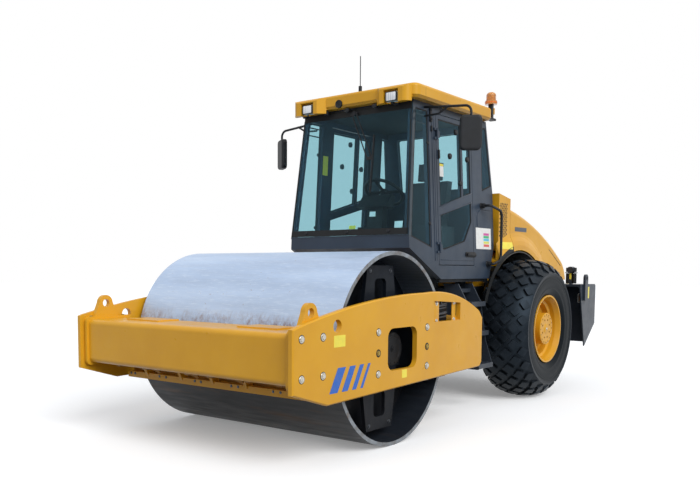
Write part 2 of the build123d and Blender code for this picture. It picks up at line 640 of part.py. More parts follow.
CORNER_GLASS = [(screen_x(1650) - 42, 1650.0), (428.0, 1560.0),
                (428.0, 2790.0), (screen_x(2790) - 42, 2790.0)]
QUARTER_GLASS = [(-616.0, 2145.0), (-822.0, 2210.0), (-735.0, 2790.0), (-616.0, 2790.0)]
REAR_DOOR = [(DOOR_X[0], DOOR_Z[0]), (DOOR_X[1], DOOR_Z[0]), (DOOR_X[1], DOOR_Z[1]), (DOOR_X[0], DOOR_Z[1])]
DOOR_PANES = {
    "front": [(238.0, 1935.0), (-182.0, 2050.0), (-182.0, 2745.0), (238.0, 2745.0)],
    "rear": [(-212.0, 2058.0), (-372.0, 2102.0), (-372.0, 2745.0), (-212.0, 2745.0)],
    "low": [(238.0, 1866.0), (-374.0, 2022.0), (-374.0, 1822.0), (-223.0, 1629.0), (183.0, 1542.0),
            (238.0, 1560.0)],
}


def on_hinge(z, radius, length):
    """Cylinder on the left door's hinge axis, centred at a height."""
    up = (z - ROOF_Z) / cos(radians(LEAN))
    return side_plane().location * Pos(DOOR_X[1], up, -HINGE_OUT) * Rot(90, 0, 0) * Cylinder(radius, length)


def hinge_leaf(z, x_low, x_high, length):
    """Flat leaf from a panel's face out to the hinge axis."""
    up = (z - ROOF_Z) / cos(radians(LEAN))
    leaf = Box(x_high - x_low, length, HINGE_OUT + 1)
    return side_plane().location * Pos((x_low + x_high) / 2, up, -HINGE_OUT / 2 + 0.5) * leaf


def build_cab_sides():
    outline = [(CAB_TOE[0], SILL_Z), (NOSE[0] - SCREEN_T, NOSE[1]), (SCREEN_LOW[0] - SCREEN_T, SCREEN_LOW[1]),
               (screen_x(ROOF_Z) - SCREEN_T, ROOF_Z), CAB_REAR[3], CAB_REAR[2], CAB_REAR[1], CAB_REAR[0]]
    side = side_panel(outline, 0, SIDE_T)
    x0, x1 = DOOR_X
    z0, z1 = DOOR_Z
    gap = DOOR_GAP
    opening = [(x0 - gap, z0 - gap), (x1 + gap, z0 - gap), (x1 + gap, z1 + gap), (x0 - gap, z1 + gap)]
    for hole in (opening, CORNER_GLASS, QUARTER_GLASS):
        side -= side_panel(hole, -5, SIDE_T + 10)
    for z in DOOR_HINGE_Z:
        shift = KNUCKLE_L / 2 + KNUCKLE_PLAY + 10
        side += on_hinge(z, DOOR_PIN_R, KNUCKLE_L + 30)
        for up in (-shift, shift):
            side += on_hinge(z + up, KNUCKLE_R, 20) + hinge_leaf(z + up, DOOR_X[1], DOOR_X[1] + 46, 20)
    save("cab_side_left", side)
    save("cab_side_right", other_side(side))


def inner_half(z):
    return side_y(z) - SIDE_T / cos(radians(LEAN))


def build_cab_ends():
    """Front panel, header and rear wall span between the two sides."""
    def span(outline):
        low = min(z for _, z in outline)
        high = max(z for _, z in outline)
        wide = side_prism(outline, -ROOF_HALF - 200, ROOF_HALF + 200)
        section = make_face(Polyline((-inner_half(low), low), (inner_half(low), low),
                                     (inner_half(high), high), (-inner_half(high), high), close=True))
        mask = extrude(Plane(origin=(-1500, 0, 0), x_dir=(0, 1, 0), z_dir=(1, 0, 0)) * section, amount=3000)
        return wide & mask

    t = 36.0
    nose = [(CAB_TOE[0], SILL_Z + 10), (NOSE[0] - SCREEN_T, NOSE[1]),
            (SCREEN_LOW[0] - SCREEN_T, SCREEN_LOW[1]),
            (SCREEN_LOW[0] - SCREEN_T - t, SCREEN_LOW[1]), (NOSE[0] - SCREEN_T - t, NOSE[1] + 22),
            (CAB_TOE[0] - 5, SILL_Z + 10 + t)]
    save("cab_front_panel", span(nose))
    rear = [CAB_REAR[0], CAB_REAR[1], CAB_REAR[2], CAB_REAR[3]]
    inner = [(x + t, z) for x, z in reversed(rear)]
    wall = span(rear + inner)
    wall -= block((-900, -600), (-440, 440), (2205, 2770))
    header_z = ROOF_Z - 55
    header_x = screen_x(header_z + 20) - SCREEN_T
    header = span([(header_x, header_z), (header_x - 60, header_z),
                   (header_x - 66, ROOF_Z), (header_x - 6, ROOF_Z)])
    save("cab_rear_wall", wall)
    save("cab_header", header)


def build_cab_floor():
    half = side_y(FLOOR_Z) - 20
    seat_z = SILL_Z - SIDE_T * sin(radians(LEAN))
    floor = block((CAB_REAR[0][0], CAB_TOE[0]), (-half, half), (FLOOR_Z, seat_z))
    tray = inner_half(SILL_Z + 20) - 1
    floor += block((CAB_REAR[0][0] + 40, CAB_TOE[0] - 5), (-tray, tray), (seat_z - 1, SILL_Z + 10))
    for x in (-90.0, -650.0):
        for side in (-1, 1):
            floor += rod_z(x, side * (RAIL_IN + RAIL_T / 2), 55, RAIL_TOP_Z, FLOOR_Z + 1)
    save("cab_floor", floor)


def build_cab_glazing():
    screen = side_prism([SCREEN_LOW, SCREEN_TOP, (SCREEN_TOP[0] - SCREEN_T, SCREEN_TOP[1]),
                         (SCREEN_LOW[0] - SCREEN_T, SCREEN_LOW[1])], -900, 900)
    low, high = SCREEN_LOW[1], SCREEN_TOP[1]
    section = make_face(Polyline((-side_y(low) + 6, low), (side_y(low) - 6, low),
                                 (side_y(high) - 6, high), (-side_y(high) + 6, high), close=True))
    mask = extrude(Plane(origin=(0, 0, 0), x_dir=(0, 1, 0), z_dir=(1, 0, 0)) * section, amount=1500)
    corner = side_panel(CORNER_GLASS, 8, GLASS_T)
    quarter = side_panel(QUARTER_GLASS, 8, GLASS_T)
    (x0, z0), (x1, z1) = CAB_REAR[2], CAB_REAR[3]
    slope = (x1 - x0) / (z1 - z0)
    pane = [(x0 + slope * (z - z0) + dx, z) for z, dx in ((2205, 12), (2770, 12), (2770, 18), (2205, 18))]
    rear = side_prism(pane, -440, 440)
    save("cab_glazing", screen & mask, *both_sides(corner), *both_sides(quarter), rear)


def build_roof():
    roof = block((ROOF_BACK_X, ROOF_FRONT_X), (-ROOF_HALF, ROOF_HALF), (ROOF_LOW_Z, ROOF_TOP_Z))
    roof = fillet(roof.edges().filter_by(Axis.Z), 70)
    roof = fillet(roof.faces().sort_by(Axis.Z)[-1].edges(), 28)
    roof = chamfer(roof.faces().sort_by(Axis.Z)[0].edges(), 22)
    y_a, y_b, y_c, y_d = POD_Y
    front = ROOF_FRONT_X + POD_REACH
    back = ROOF_FRONT_X - 60
    outline = Curve([Polyline((back, y_a - 40), (ROOF_FRONT_X, y_a), (front, y_b), (front, y_c)),
                     ThreePointArc((front, y_c), (front - 20, y_c + 39), (ROOF_FRONT_X, y_d)),
                     Polyline((ROOF_FRONT_X, y_d), (back, y_d), (back, y_a - 40))])
    pod = top_prism(outline, POD_LOW_Z, POD_TOP_Z)
    pod = chamfer(pod.faces().sort_by(Axis.Z)[-1].edges().sort_by(Axis.X)[-1], 18)
    pod -= block((back - 1, ROOF_FRONT_X - 5), (0, ROOF_HALF), (POD_LOW_Z - 1, ROOF_LOW_Z))
    pod -= block((lamp_back_x(), front + 1),
                 (LAMP_Y - LAMP_HALF_W - LAMP_ROOM, LAMP_Y + LAMP_HALF_W + LAMP_ROOM),
                 (POD_LOW_Z - 1, LAMP_Z + LAMP_HALF_H + LAMP_ROOM))
    for half in both_sides(pod):
        roof += half
    save("cab_roof", roof)
    save_roof_fittings(roof)


def lamp_back_x():
    """Back wall of the lamp's recess in its pod."""
    return ROOF_FRONT_X + 3


def build_lamps():
    """Each lamp is a box whose back stands on the roof or in its pod."""
    lamps = []
    for x, turn, y, z in ((lamp_back_x(), 1, LAMP_Y, LAMP_Z), (ROOF_BACK_X, -1, 420.0, 2905.0)):
        span = sorted((x, x + turn * (POD_REACH - 10)))
        lamp = block(span, (y - LAMP_HALF_W, y + LAMP_HALF_W), (z - LAMP_HALF_H, z + LAMP_HALF_H))
        lamp = fillet(lamp.edges().filter_by(Axis.X), 12)
        lamps.extend(both_sides(lamp))
    save("lamps", *lamps)


def save_roof_fittings(roof):
    """Antenna on the roof, and the beacon on its bracket behind the roof's left rear corner."""
    foot_top = BEACON_FOOT_Z + BEACON_FOOT_T
    foot = block((BEACON_X - 60, ROOF_BACK_X + 40), (BEACON_Y - 30, BEACON_Y + 30), (BEACON_FOOT_Z, foot_top))
    foot -= roof
    post = block((BEACON_X - 20, BEACON_X + 20), (BEACON_Y - 20, BEACON_Y + 20), (foot_top - 1, BEACON_Z))
    antenna = rod_z(*ANTENNA_AT, 16, ROOF_TOP_Z, ROOF_TOP_Z + 60)
    antenna += rod_z(*ANTENNA_AT, 4, ROOF_TOP_Z + 59, ROOF_TOP_Z + 330)
    save("beacon_base", foot + post, antenna)
    dome = rod_z(BEACON_X, BEACON_Y, BEACON_R, BEACON_Z, BEACON_Z + BEACON_H)
    dome = fillet(dome.faces().sort_by(Axis.Z)[-1].edges(), 32)
    save("beacon", dome + rod_z(BEACON_X, BEACON_Y, BEACON_RING_R, BEACON_Z, BEACON_Z + 36))


def build_mirrors():
    foot = side_y(2815) - 8
    arm = tube([(MIRROR_X, foot, 2812), (MIRROR_X, MIRROR_Y, 2772), (MIRROR_X, MIRROR_Y, MIRROR_TOP_Z - 30)],
               [60], 11)
    strut = tube([(MIRROR_X, foot, 2732), (MIRROR_X, 760, 2738), (MIRROR_X, 862, 2796)], [60], 9)
    head = block((-26, 26), (-MIRROR_W / 2, MIRROR_W / 2), (MIRROR_TOP_Z - MIRROR_H, MIRROR_TOP_Z))
    head = fillet(head.edges().filter_by(Axis.X), 40)
    head = fillet(head.faces().sort_by(Axis.X)[-1].edges(), 20)
    head = Pos(MIRROR_X, MIRROR_Y, 0) * Rot(0, 0, MIRROR_TOE) * head
    unit = (arm + strut - behind_side()) + head
    save("mirrors", *both_sides(unit))


def build_seat():
    base = block((-520, -120), (-190, 190), (SILL_Z + 10, 1600))
    cushion = fillet(block((-600, -60), (-250, 250), (1600, 1730)).edges().filter_by(Axis.Z), 40)
    back = [(-520, 1730), (-640, 1730), (-740, 2280), (-650, 2280)]
    rest = side_prism(back, -240, 240)
    head = side_prism([(-660, 2300), (-735, 2300), (-748, 2480), (-680, 2480)], -130, 130)
    stem = block((-705, -690), (-60, 60), (2270, 2310))
    unit = base + cushion + rest + head + stem
    for side in (-1, 1):
        span = sorted((side * 270, side * 420))
        unit += block((-480, 40), span, (SILL_Z + 10, 1790))
        unit += block((-400, -300), sorted((side * 185, side * 275)), (1300, 1360))
    save("operator_seat", unit)


def build_steering_console():
    column = side_prism([(300, 1350), (400, 1400), (330, 2000), (270, 2000)], -90, 90)
    foot = [(228, SILL_Z + 10), (150, SILL_Z + 10), (150, 1400), (300, 1800), (335, 1500)]
    column = column + side_prism(foot, -60, 60)
    dash = side_prism([(420, 1960), (300, 2080), (250, 2060), (280, 1940)], -170, 170)
    wheel = Pos(190, 0, 2110) * Rot(0, -35, 0) * (Torus(190, 16) + Cylinder(45, 30)
                                                  + Box(370, 30, 14) + Box(30, 370, 14))
    stem = Pos(235, 0, 2045) * Rot(0, -35, 0) * Cylinder(28, 150)
    save("steering_console", column + dash + wheel + stem)


def build_wiper():
    z_hub = 2790.0
    x_hub = screen_x(z_hub)
    slope = degrees(atan2(SCREEN_LOW[0] - SCREEN_TOP[0], SCREEN_TOP[1] - SCREEN_LOW[1]))
    place = Pos(x_hub, 0, z_hub) * Rot(0, -slope, 0)
    unit = rod_x(0, 0, 22, 0, 34)
    unit += block((18, 30), (-40, 40), (-12, 12))
    for y in (-26.0, 26.0):
        unit += Pos(24, y, 0) * Rot(26, 0, 0) * Pos(0, 0, -235) * Box(8, 9, 470)
    unit += Pos(20, 214, -430) * Box(14, 70, 26)
    unit += Pos(14, 240, -480) * Box(22, 12, 520)
    save("wiper", place * unit)


def build_intake():
    x0, x1 = INTAKE_X
    top = [(x0, INTAKE_LOW_Z), (x0, INTAKE_TOP_Z[0]), (x1, INTAKE_TOP_Z[1]), (x1, INTAKE_LOW_Z)]
    unit = side_prism(top, -HOOD_HALF, HOOD_HALF)
    unit += block((x0, x1), (-RAIL_OUT, RAIL_OUT), (RAIL_TOP_Z, INTAKE_LOW_Z + 1))
    for flare in wheel_flare((x0, CAB_REAR[1][0] - 5), (FENDER_LOW_Z, HOOD_CREST[1][1])):
        unit += flare
    unit += (arch_ring(FENDER_R, HOOD_HALF) - arch_ring(ARCH_R, FLARE_OUT)) & block(
        (x0, CAB_REAR[1][0] - 5), (-HOOD_HALF, HOOD_HALF), (FENDER_LOW_Z, HOOD_CREST[1][1]))
    for side in (-1, 1):
        span = sorted((side * (RAIL_OUT + 30), side * (FLARE_OUT + 10)))
        near = block((x0 - 1, 0), span, (FENDER_LOW_Z - 1, INTAKE_LOW_Z + 300))
        unit -= arch_ring(ARCH_R, FLARE_OUT + 20) & near
    save("intake_housing", unit)


def build_grab_rails():
    top_z, low_z = 2000.0, 1418.0
    rail = tube([(-590, side_y(top_z) - 10, top_z), (-590, RAIL_Y, top_z), (RAIL_BACK, RAIL_Y, top_z - 45),
                 (RAIL_BACK, RAIL_Y, low_z + 40), (-690, RAIL_Y, low_z), (-690, side_y(low_z) - 10, low_z)],
                [30, 70, 70, 30], 13)
    save("grab_rails", *both_sides(rail - behind_side()))


# ================================================================ doors
def build_doors():
    door = side_panel(REAR_DOOR, 0, DOOR_T)
    for pane in DOOR_PANES.values():
        door -= side_panel(pane, -5, DOOR_T + 10)
    for z in DOOR_HINGE_Z:
        door += on_hinge(z, KNUCKLE_R, KNUCKLE_L) + hinge_leaf(z, DOOR_X[1] - 46, DOOR_X[1], KNUCKLE_L)
        door -= on_hinge(z, DOOR_PIN_R + RUN_FIT, KNUCKLE_L + 10)
    glass = [side_panel(pane, 12, GLASS_T) for pane in DOOR_PANES.values()]
    for name, turn in (("left", lambda s: s), ("right", other_side)):
        save(f"door_{name}", turn(door))
        save(f"door_glass_{name}", *[turn(pane) for pane in glass])


# ================================================================ hood
def hood_profile(shrink):
    """Side view of the hood, moved inwards by shrink."""
    (ax, az), (bx, bz), (cx, cz) = HOOD_CREST
    (dx, dz), (ex, ez) = HOOD_TAIL
    down = shrink * 0.93
    a, b, c = (ax, az - down), (bx + shrink * 0.35, bz - down), (cx + shrink * 0.6, cz - shrink * 0.8)
    d, e = (dx + shrink * 0.8, dz - shrink * 0.6), (ex + shrink, ez)
    low = HOOD_LOW_Z
    return Curve([ThreePointArc(a, b, c), ThreePointArc(c, d, e), Polyline(e, (e[0], low), (a[0], low), a)])


def arch_ring(outer, half):
    return Pos(AXLE_X, 0, TYRE_R) * Rot(90, 0, 0) * Cylinder(outer, 2 * half)


def wheel_flare(x, z):
    """Swollen rim round both wheel arches, cut to a range of X and of Z."""
    flat_r, foot_r = FLARE_R
    foot = HOOD_HALF - 2
    rim_r = ARCH_R - 10
    fall = []
    for step in range(FLARE_STEPS + 1):
        share = step / FLARE_STEPS
        out = foot + (FLARE_OUT - foot) * (1 + cos(pi * share)) / 2
        fall.append((flat_r + (foot_r - flat_r) * share, -out))
    plane = Plane(origin=(AXLE_X, 0, TYRE_R), x_dir=(0, 0, 1), z_dir=(1, 0, 0))
    section = plane * make_face(Polyline((rim_r, -foot), (rim_r, -FLARE_OUT), *fall, close=True))
    ring = revolve(section, axis=Axis((AXLE_X, 0, TYRE_R), (0, 1, 0)))
    half = ring & block(x, (0, FLARE_OUT + 1), z)
    return both_sides(half)


def build_hood():
    hood = side_prism(hood_profile(0), -HOOD_HALF, HOOD_HALF)
    crest = [e for e in hood.edges() if e.geom_type == GeomType.CIRCLE and abs(e.center().Y) > HOOD_HALF - 1]
    hood = fillet(crest, HOOD_EDGE)
    for flare in wheel_flare((HOOD_CREST[2][0], HOOD_FRONT_X), (HOOD_LOW_Z, HOOD_CREST[1][1])):
        hood += flare
    inner_w = HOOD_HALF - HOOD_T
    cavity = side_prism(hood_profile(HOOD_T), -inner_w, inner_w)
    cavity_crest = [e for e in cavity.edges() if e.geom_type == GeomType.CIRCLE]
    cavity = fillet(cavity_crest, HOOD_EDGE - HOOD_T)
    hood -= cavity
    hood -= block((HOOD_FRONT_X - 40, HOOD_FRONT_X + 1), (-inner_w, inner_w), (1100, 1930))
    hood -= block((-2900, HOOD_FRONT_X), (-inner_w, inner_w), (1200, HOOD_LOW_Z + 1))
    hood -= arch_ring(ARCH_R, 900)
    mid = ((HOOD_CREST[2][0] + HOOD_TAIL[1][0]) / 2, (HOOD_CREST[2][1] + HOOD_TAIL[1][1]) / 2)
    turn = degrees(atan2(HOOD_CREST[2][0] - HOOD_TAIL[1][0], HOOD_CREST[2][1] - HOOD_TAIL[1][1]))
    frame = Pos(mid[0], 0, mid[1]) * Rot(0, turn, 0)
    hood -= frame * Box(180, 1040, 226)
    hx, hz = HOOD_HINGE
    for side in (-1, 1):
        notch = sorted((side * (HINGE_Y - 18), side * (HINGE_Y + 18)))
        hood -= block((REAR_X, hx + 40), notch, (1200, hz + 30))
        ear = sorted((side * (HINGE_Y + 22), side * (HINGE_Y + 38)))
        hood += block((HOOD_TAIL[1][0] + HOOD_T - 2, hx), ear, (hz - 15, hz + 22))
        hood += rod_y(hx, hz, HINGE_HEAD_R + 4, *ear)
        bore = sorted((side * (HINGE_Y - 30), side * (HINGE_Y + 60)))
        hood -= rod_y(hx, hz, HINGE_PIN_R + RUN_FIT, *bore)
    save("engine_hood", hood)

    grille = frame * Pos(10, 0, 0) * (Box(24, 1040, 226) - Box(30, 1000, 190))
    for row in range(7):
        z = -84 + row * 28
        grille += frame * Pos(10, 0, z) * Rot(0, 25, 0) * Box(22, 1010, 8)
    grille += frame * Pos(4, 0, 0) * Box(10, 1010, 200)
    save("rear_grille", grille)


build_drum()
build_side_plates()
build_front_beam()
build_crossmember()
build_lifting_ears()
build_drum_carriers()
build_scrapers()
build_yoke()
build_steering_cylinders()
build_rear_frame()
build_axle()
build_bumper()
build_rear_lugs()
build_engine()
build_tanks()
build_steps()
build_wheels()
build_cab_sides()
build_cab_ends()
build_cab_floor()
build_cab_glazing()
build_roof()
build_lamps()
build_mirrors()
build_seat()
build_steering_console()
build_wiper()
build_intake()
build_grab_rails()
build_doors()
build_hood()
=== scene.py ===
import bmesh
import bpy
import json
import math
from mathutils import Matrix, Vector


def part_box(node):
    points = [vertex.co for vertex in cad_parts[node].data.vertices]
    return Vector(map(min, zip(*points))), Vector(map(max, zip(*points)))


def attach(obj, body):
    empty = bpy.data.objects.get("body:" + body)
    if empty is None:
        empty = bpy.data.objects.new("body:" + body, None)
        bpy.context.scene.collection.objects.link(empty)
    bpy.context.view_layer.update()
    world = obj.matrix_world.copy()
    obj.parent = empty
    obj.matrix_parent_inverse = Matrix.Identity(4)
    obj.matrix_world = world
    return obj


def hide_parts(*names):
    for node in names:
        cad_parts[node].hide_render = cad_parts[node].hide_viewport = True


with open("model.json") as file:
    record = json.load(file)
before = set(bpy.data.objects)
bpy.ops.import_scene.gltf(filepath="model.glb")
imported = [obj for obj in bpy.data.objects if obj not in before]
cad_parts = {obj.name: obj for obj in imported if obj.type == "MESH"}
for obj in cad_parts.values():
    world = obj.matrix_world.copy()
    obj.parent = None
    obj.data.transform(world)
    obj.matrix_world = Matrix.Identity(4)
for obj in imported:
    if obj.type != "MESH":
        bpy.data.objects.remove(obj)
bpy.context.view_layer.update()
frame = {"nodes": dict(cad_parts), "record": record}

bl_info = {
    "name": "Road roller",
    "version": (1, 0, 0),
    "blender": (4, 5, 0),
    "location": "View3D > Sidebar > Road roller",
    "description": "Dresses the packed road roller: paint, steel, rubber, glass and small parts",
    "category": "Object",
}

MM = 0.001
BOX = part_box


# ---------------------------------------------------------------- places read from the frame
def middle(node):
    low, high = BOX(node)
    return (Vector(low) + Vector(high)) / 2


DRUM_AXIS = middle("drum_shell")
WHEEL_AXIS = middle("tyre_left")
AHEAD, LEFT, UP = (1, 0, 0), (0, 1, 0), (0, 0, 1)


# ---------------------------------------------------------------- modelling
def at(x, y, z):
    """Point in metres from millimetres."""
    return Vector((x, y, z)) * MM


def off_axis(axis, x, y, z):
    """Point in metres, from millimetres off an axle that runs along Y."""
    return Vector((axis.x, 0, axis.z)) + at(x, y, z)


def rect(u0, v0, u1, v1):
    """The four corners of a rectangle, from two that face each other."""
    return [(u0, v0), (u1, v0), (u1, v1), (u0, v1)]


def deselect():
    bpy.ops.object.select_all(action="DESELECT")


def focus(obj):
    """Select one piece alone and make it active."""
    deselect()
    bpy.context.view_layer.objects.active = obj
    obj.select_set(True)


def edit(obj, kind="FACE"):
    """Open one piece for editing with nothing selected."""
    focus(obj)
    bpy.ops.object.mode_set(mode="EDIT")
    bpy.ops.mesh.select_mode(type=kind)
    bpy.ops.mesh.select_all(action="DESELECT")


def done():
    bpy.ops.object.mode_set(mode="OBJECT")


def choose(obj, items, test):
    """In edit mode, select the verts, edges or faces that pass a test."""
    mesh = bmesh.from_edit_mesh(obj.data)
    for item in getattr(mesh, items):
        item.select_set(bool(test(item)))
    bmesh.update_edit_mesh(obj.data)


def pick(obj, test):
    """Select the faces whose middle and normal pass a test."""
    choose(obj, "faces", lambda face: test(face.calc_center_median(), face.normal))


def ease(obj, width, sharp=35, segments=2):
    """Bevel every edge sharper than an angle."""
    edit(obj, "EDGE")
    bpy.ops.mesh.edges_select_sharp(sharpness=math.radians(sharp))
    bpy.ops.mesh.bevel(offset=width, segments=segments, affect="EDGES", clamp_overlap=True)
    done()
    return obj


def plate(points, push, corner=0.0, edge=0.0, frame_width=0.0, unit=MM):
    """Plate from its outline in metres: corners rounded flat, pushed to its thickness, edges eased.

    The other sizes are in units; frame_width leaves only a frame of that width round the outline."""
    deselect()
    bpy.ops.mesh.primitive_circle_add(vertices=len(points), fill_type="NGON", location=(0, 0, 0))
    obj = bpy.context.object
    for vertex, point in zip(obj.data.vertices, points):
        vertex.co = point
    edit(obj, "VERT")
    bpy.ops.mesh.select_all(action="SELECT")
    if corner:
        bpy.ops.mesh.bevel(offset=corner * unit, segments=5, affect="VERTICES")
    bpy.ops.mesh.select_mode(type="FACE")
    bpy.ops.mesh.select_all(action="SELECT")
    if frame_width:
        bpy.ops.mesh.inset(thickness=frame_width * unit)
        bpy.ops.mesh.delete(type="FACE")
        bpy.ops.mesh.select_all(action="SELECT")
    bpy.ops.mesh.extrude_region_move(TRANSFORM_OT_translate={"value": Vector(push) * unit})
    bpy.ops.mesh.select_all(action="SELECT")
    bpy.ops.mesh.normals_make_consistent(inside=False)
    done()
    return ease(obj, edge * unit) if edge else obj


def box_piece(low, high, edge=3.0, segments=2):
    """Block between two corners in millimetres, every edge eased."""
    low, high = Vector(low) * MM, Vector(high) * MM
    deselect()
    bpy.ops.mesh.primitive_cube_add(size=1, location=(low + high) / 2, scale=high - low)
    bpy.ops.object.transform_apply()
    return ease(bpy.context.object, edge * MM, segments=segments)


def turn_to(direction):
    return Vector(direction).to_track_quat("Z", "Y").to_matrix().to_4x4()


def line_of(count, points):
    """A closed loop through the points, opened in edit mode."""
    deselect()
    bpy.ops.mesh.primitive_circle_add(vertices=count, fill_type="NOTHING", location=(0, 0, 0))
    obj = bpy.context.object
    for vertex, point in zip(obj.data.vertices, points):
        vertex.co = point
    edit(obj, "EDGE")
    return obj


def cut_loop(obj):
    """Delete the edge between the first and the last point."""
    ends = {0, len(obj.data.vertices) - 1}
    choose(obj, "edges", lambda line: {v.index for v in line.verts} == ends)
    bpy.ops.mesh.delete(type="EDGE")


def lathe(profile, place, axis, steps=32, closed=False):
    """Turned piece: (radius, height) pairs in millimetres, spun about an axis through a place."""
    obj = line_of(len(profile), [(radius * MM, 0, height * MM) for radius, height in profile])
    if not closed:
        cut_loop(obj)
    bpy.ops.mesh.select_all(action="SELECT")
    bpy.ops.mesh.spin(steps=steps, angle=math.tau, center=(0, 0, 0), axis=(0, 0, 1))
    bpy.ops.mesh.select_all(action="SELECT")
    bpy.ops.mesh.remove_doubles(threshold=1e-6)
    bpy.ops.mesh.normals_make_consistent(inside=False)
    done()
    obj.matrix_world = Matrix.Translation(place) @ turn_to(axis)
    focus(obj)
    bpy.ops.object.transform_apply()
    return obj


def pipe(points, radius, bend=0.0):
    """Round bar through points in metres, its corners bent; radius and bend in millimetres."""
    obj = line_of(max(3, len(points)), [*points, points[-1]])
    cut_loop(obj)
    bpy.ops.mesh.select_all(action="SELECT")
    bpy.ops.mesh.remove_doubles(threshold=1e-6)
    if bend:
        bpy.ops.mesh.select_mode(type="VERT")
        choose(obj, "verts", lambda vertex: len(vertex.link_edges) == 2)
        bpy.ops.mesh.bevel(offset=bend * MM, segments=6, affect="VERTICES", clamp_overlap=True)
    done()
    bpy.ops.object.convert(target="CURVE")
    obj = bpy.context.object
    obj.data.bevel_depth = radius * MM
    obj.data.bevel_resolution = 3
    obj.data.use_fill_caps = True
    bpy.ops.object.convert(target="MESH")
    return bpy.context.object


def scatter(template, places):
    """One copy of a template, with its own mesh, at each (place, direction, size). The template goes."""
    made = []
    for place, direction, size in places:
        twin = template.copy()
        twin.data = template.data.copy()
        bpy.context.scene.collection.objects.link(twin)
        twin.matrix_world = Matrix.Translation(place) @ turn_to(direction) @ Matrix.Scale(size, 4)
        made.append(twin)
    bpy.data.objects.remove(template)
    return join(made)


def join(parts):
    deselect()
    for part in parts:
        part.select_set(True)
    bpy.context.view_layer.objects.active = parts[0]
    if len(parts) > 1:
        bpy.ops.object.join()
    bpy.ops.object.transform_apply()
    return bpy.context.object


def repeat(obj, count, step=None, centre=None, axis=None):
    """Array of a piece, in a row by a step or round an axis; the copies are made real."""
    focus(obj)
    rows = obj.modifiers.new("rows", "ARRAY")
    rows.count = count
    rows.use_relative_offset = False
    if step is not None:
        rows.use_constant_offset = True
        rows.constant_offset_displace = step
    else:
        pivot = bpy.data.objects.new("pivot", None)
        bpy.context.scene.collection.objects.link(pivot)
        turn = Matrix.Rotation(math.tau / count, 4, axis)
        pivot.matrix_world = Matrix.Translation(centre) @ turn @ Matrix.Translation(-centre)
        rows.use_object_offset = True
        rows.offset_object = pivot
        bpy.context.view_layer.update()
    bpy.ops.object.modifier_apply(modifier="rows")
    if step is None:
        bpy.data.objects.remove(pivot)
    return obj


def settle(parts, name, finish, body="rear_unit", twin=None, slot=None, smooth=32):
    """Join parts into one finished piece, give it its finish and let it ride on its body.

    twin "same" mirrors it within the piece; another body's name makes a mirrored piece there."""
    slot = slot or SLOTS[finish]
    obj = join(parts if isinstance(parts, list) else [parts])
    obj.name = obj.data.name = name
    if twin == "same":
        half = obj.modifiers.new("half", "MIRROR")
        half.use_axis = (False, True, False)
        half.use_mirror_merge = False
        bpy.ops.object.modifier_apply(modifier="half")
    obj.data.materials.clear()
    obj.data.materials.append(MATERIALS[finish])
    bpy.ops.object.shade_smooth_by_angle(angle=math.radians(smooth))
    pieces = [obj]
    if twin not in (None, "same"):
        other = obj.copy()
        other.data = obj.data.copy()
        other.name = other.data.name = name.replace("left", "right")
        bpy.context.scene.collection.objects.link(other)
        other.data.transform(Matrix.Scale(-1, 4, (0, 1, 0)))
        other.data.flip_normals()
        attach(other, twin)
        pieces.append(other)
    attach(obj, body)
    return pieces


def blocks(rows, *told, **more):
    """One finished piece of blocks, from rows of low corner, high corner and edge."""
    settle([box_piece(*row) for row in rows], *told, **more)


def hex_bolt():
    """Hex head 1 mm across its corners with its washer, standing on the plate and looking up Z."""
    bpy.ops.mesh.primitive_cylinder_add(vertices=6, radius=0.5 * MM, depth=0.26 * MM, location=(0, 0, 0.21 * MM))
    head = bpy.context.object
    edit(head)
    pick(head, lambda c, n: n.z > 0.9)
    bpy.ops.mesh.bevel(offset=0.06 * MM, segments=1, affect="EDGES")
    done()
    washer = lathe([(0, 0.1), (0.66, 0.1), (0.72, 0.05), (0.72, 0)], (0, 0, 0), UP, 16)
    return join([head, washer])


def bolts(places, *told, **more):
    """One finished piece of hex bolts at (place, direction, width over corners)."""
    settle(scatter(hex_bolt(), places), *told, **more)


def block_pieces(table):
    """A finished piece of blocks for each row of a table."""
    for name, finish, body, twin, *rows in table:
        blocks(rows, name, finish, body, twin)


# ---------------------------------------------------------------- colour and nodes
def linear(text):
    """sRGB hex to linear RGBA."""
    values = [int(text[i:i + 2], 16) / 255 for i in (1, 3, 5)]
    return [v / 12.92 if v <= 0.04045 else ((v + 0.055) / 1.055) ** 2.4 for v in values] + [1.0]


def rgba(value):
    """Linear RGBA from a hex text, a grey or a linear colour."""
    if isinstance(value, str):
        return linear(value)
    return (value, value, value, 1.0) if isinstance(value, (int, float)) else (*value, 1.0)


def add_node(mat, kind, links=None, values=None, **settings):
    """Add one shader node, with its settings, socket values and incoming links."""
    node = mat.node_tree.nodes.new(kind)
    for key, value in settings.items():
        setattr(node, key, value)
    for key, value in (values or {}).items():
        node.inputs[key].default_value = value
    for key, socket in (links or {}).items():
        mat.node_tree.links.new(socket, node.inputs[key])
    return node


def blank_material(name):
    mat = bpy.data.materials.new(name)
    mat.use_nodes = True
    mat.node_tree.nodes.clear()
    return mat


def object_coords(mat, scale=(1, 1, 1)):
    coords = add_node(mat, "ShaderNodeTexCoord")
    return add_node(mat, "ShaderNodeMapping", {"Vector": coords.outputs["Object"]},
                    {"Scale": scale}).outputs["Vector"]


def noise(mat, where, size_mm, detail=3.0, rough=0.55):
    """Noise whose grain is size_mm across."""
    return add_node(mat, "ShaderNodeTexNoise", {"Vector": where},
                    {"Scale": 1 / (size_mm * MM), "Detail": detail, "Roughness": rough}).outputs["Fac"]


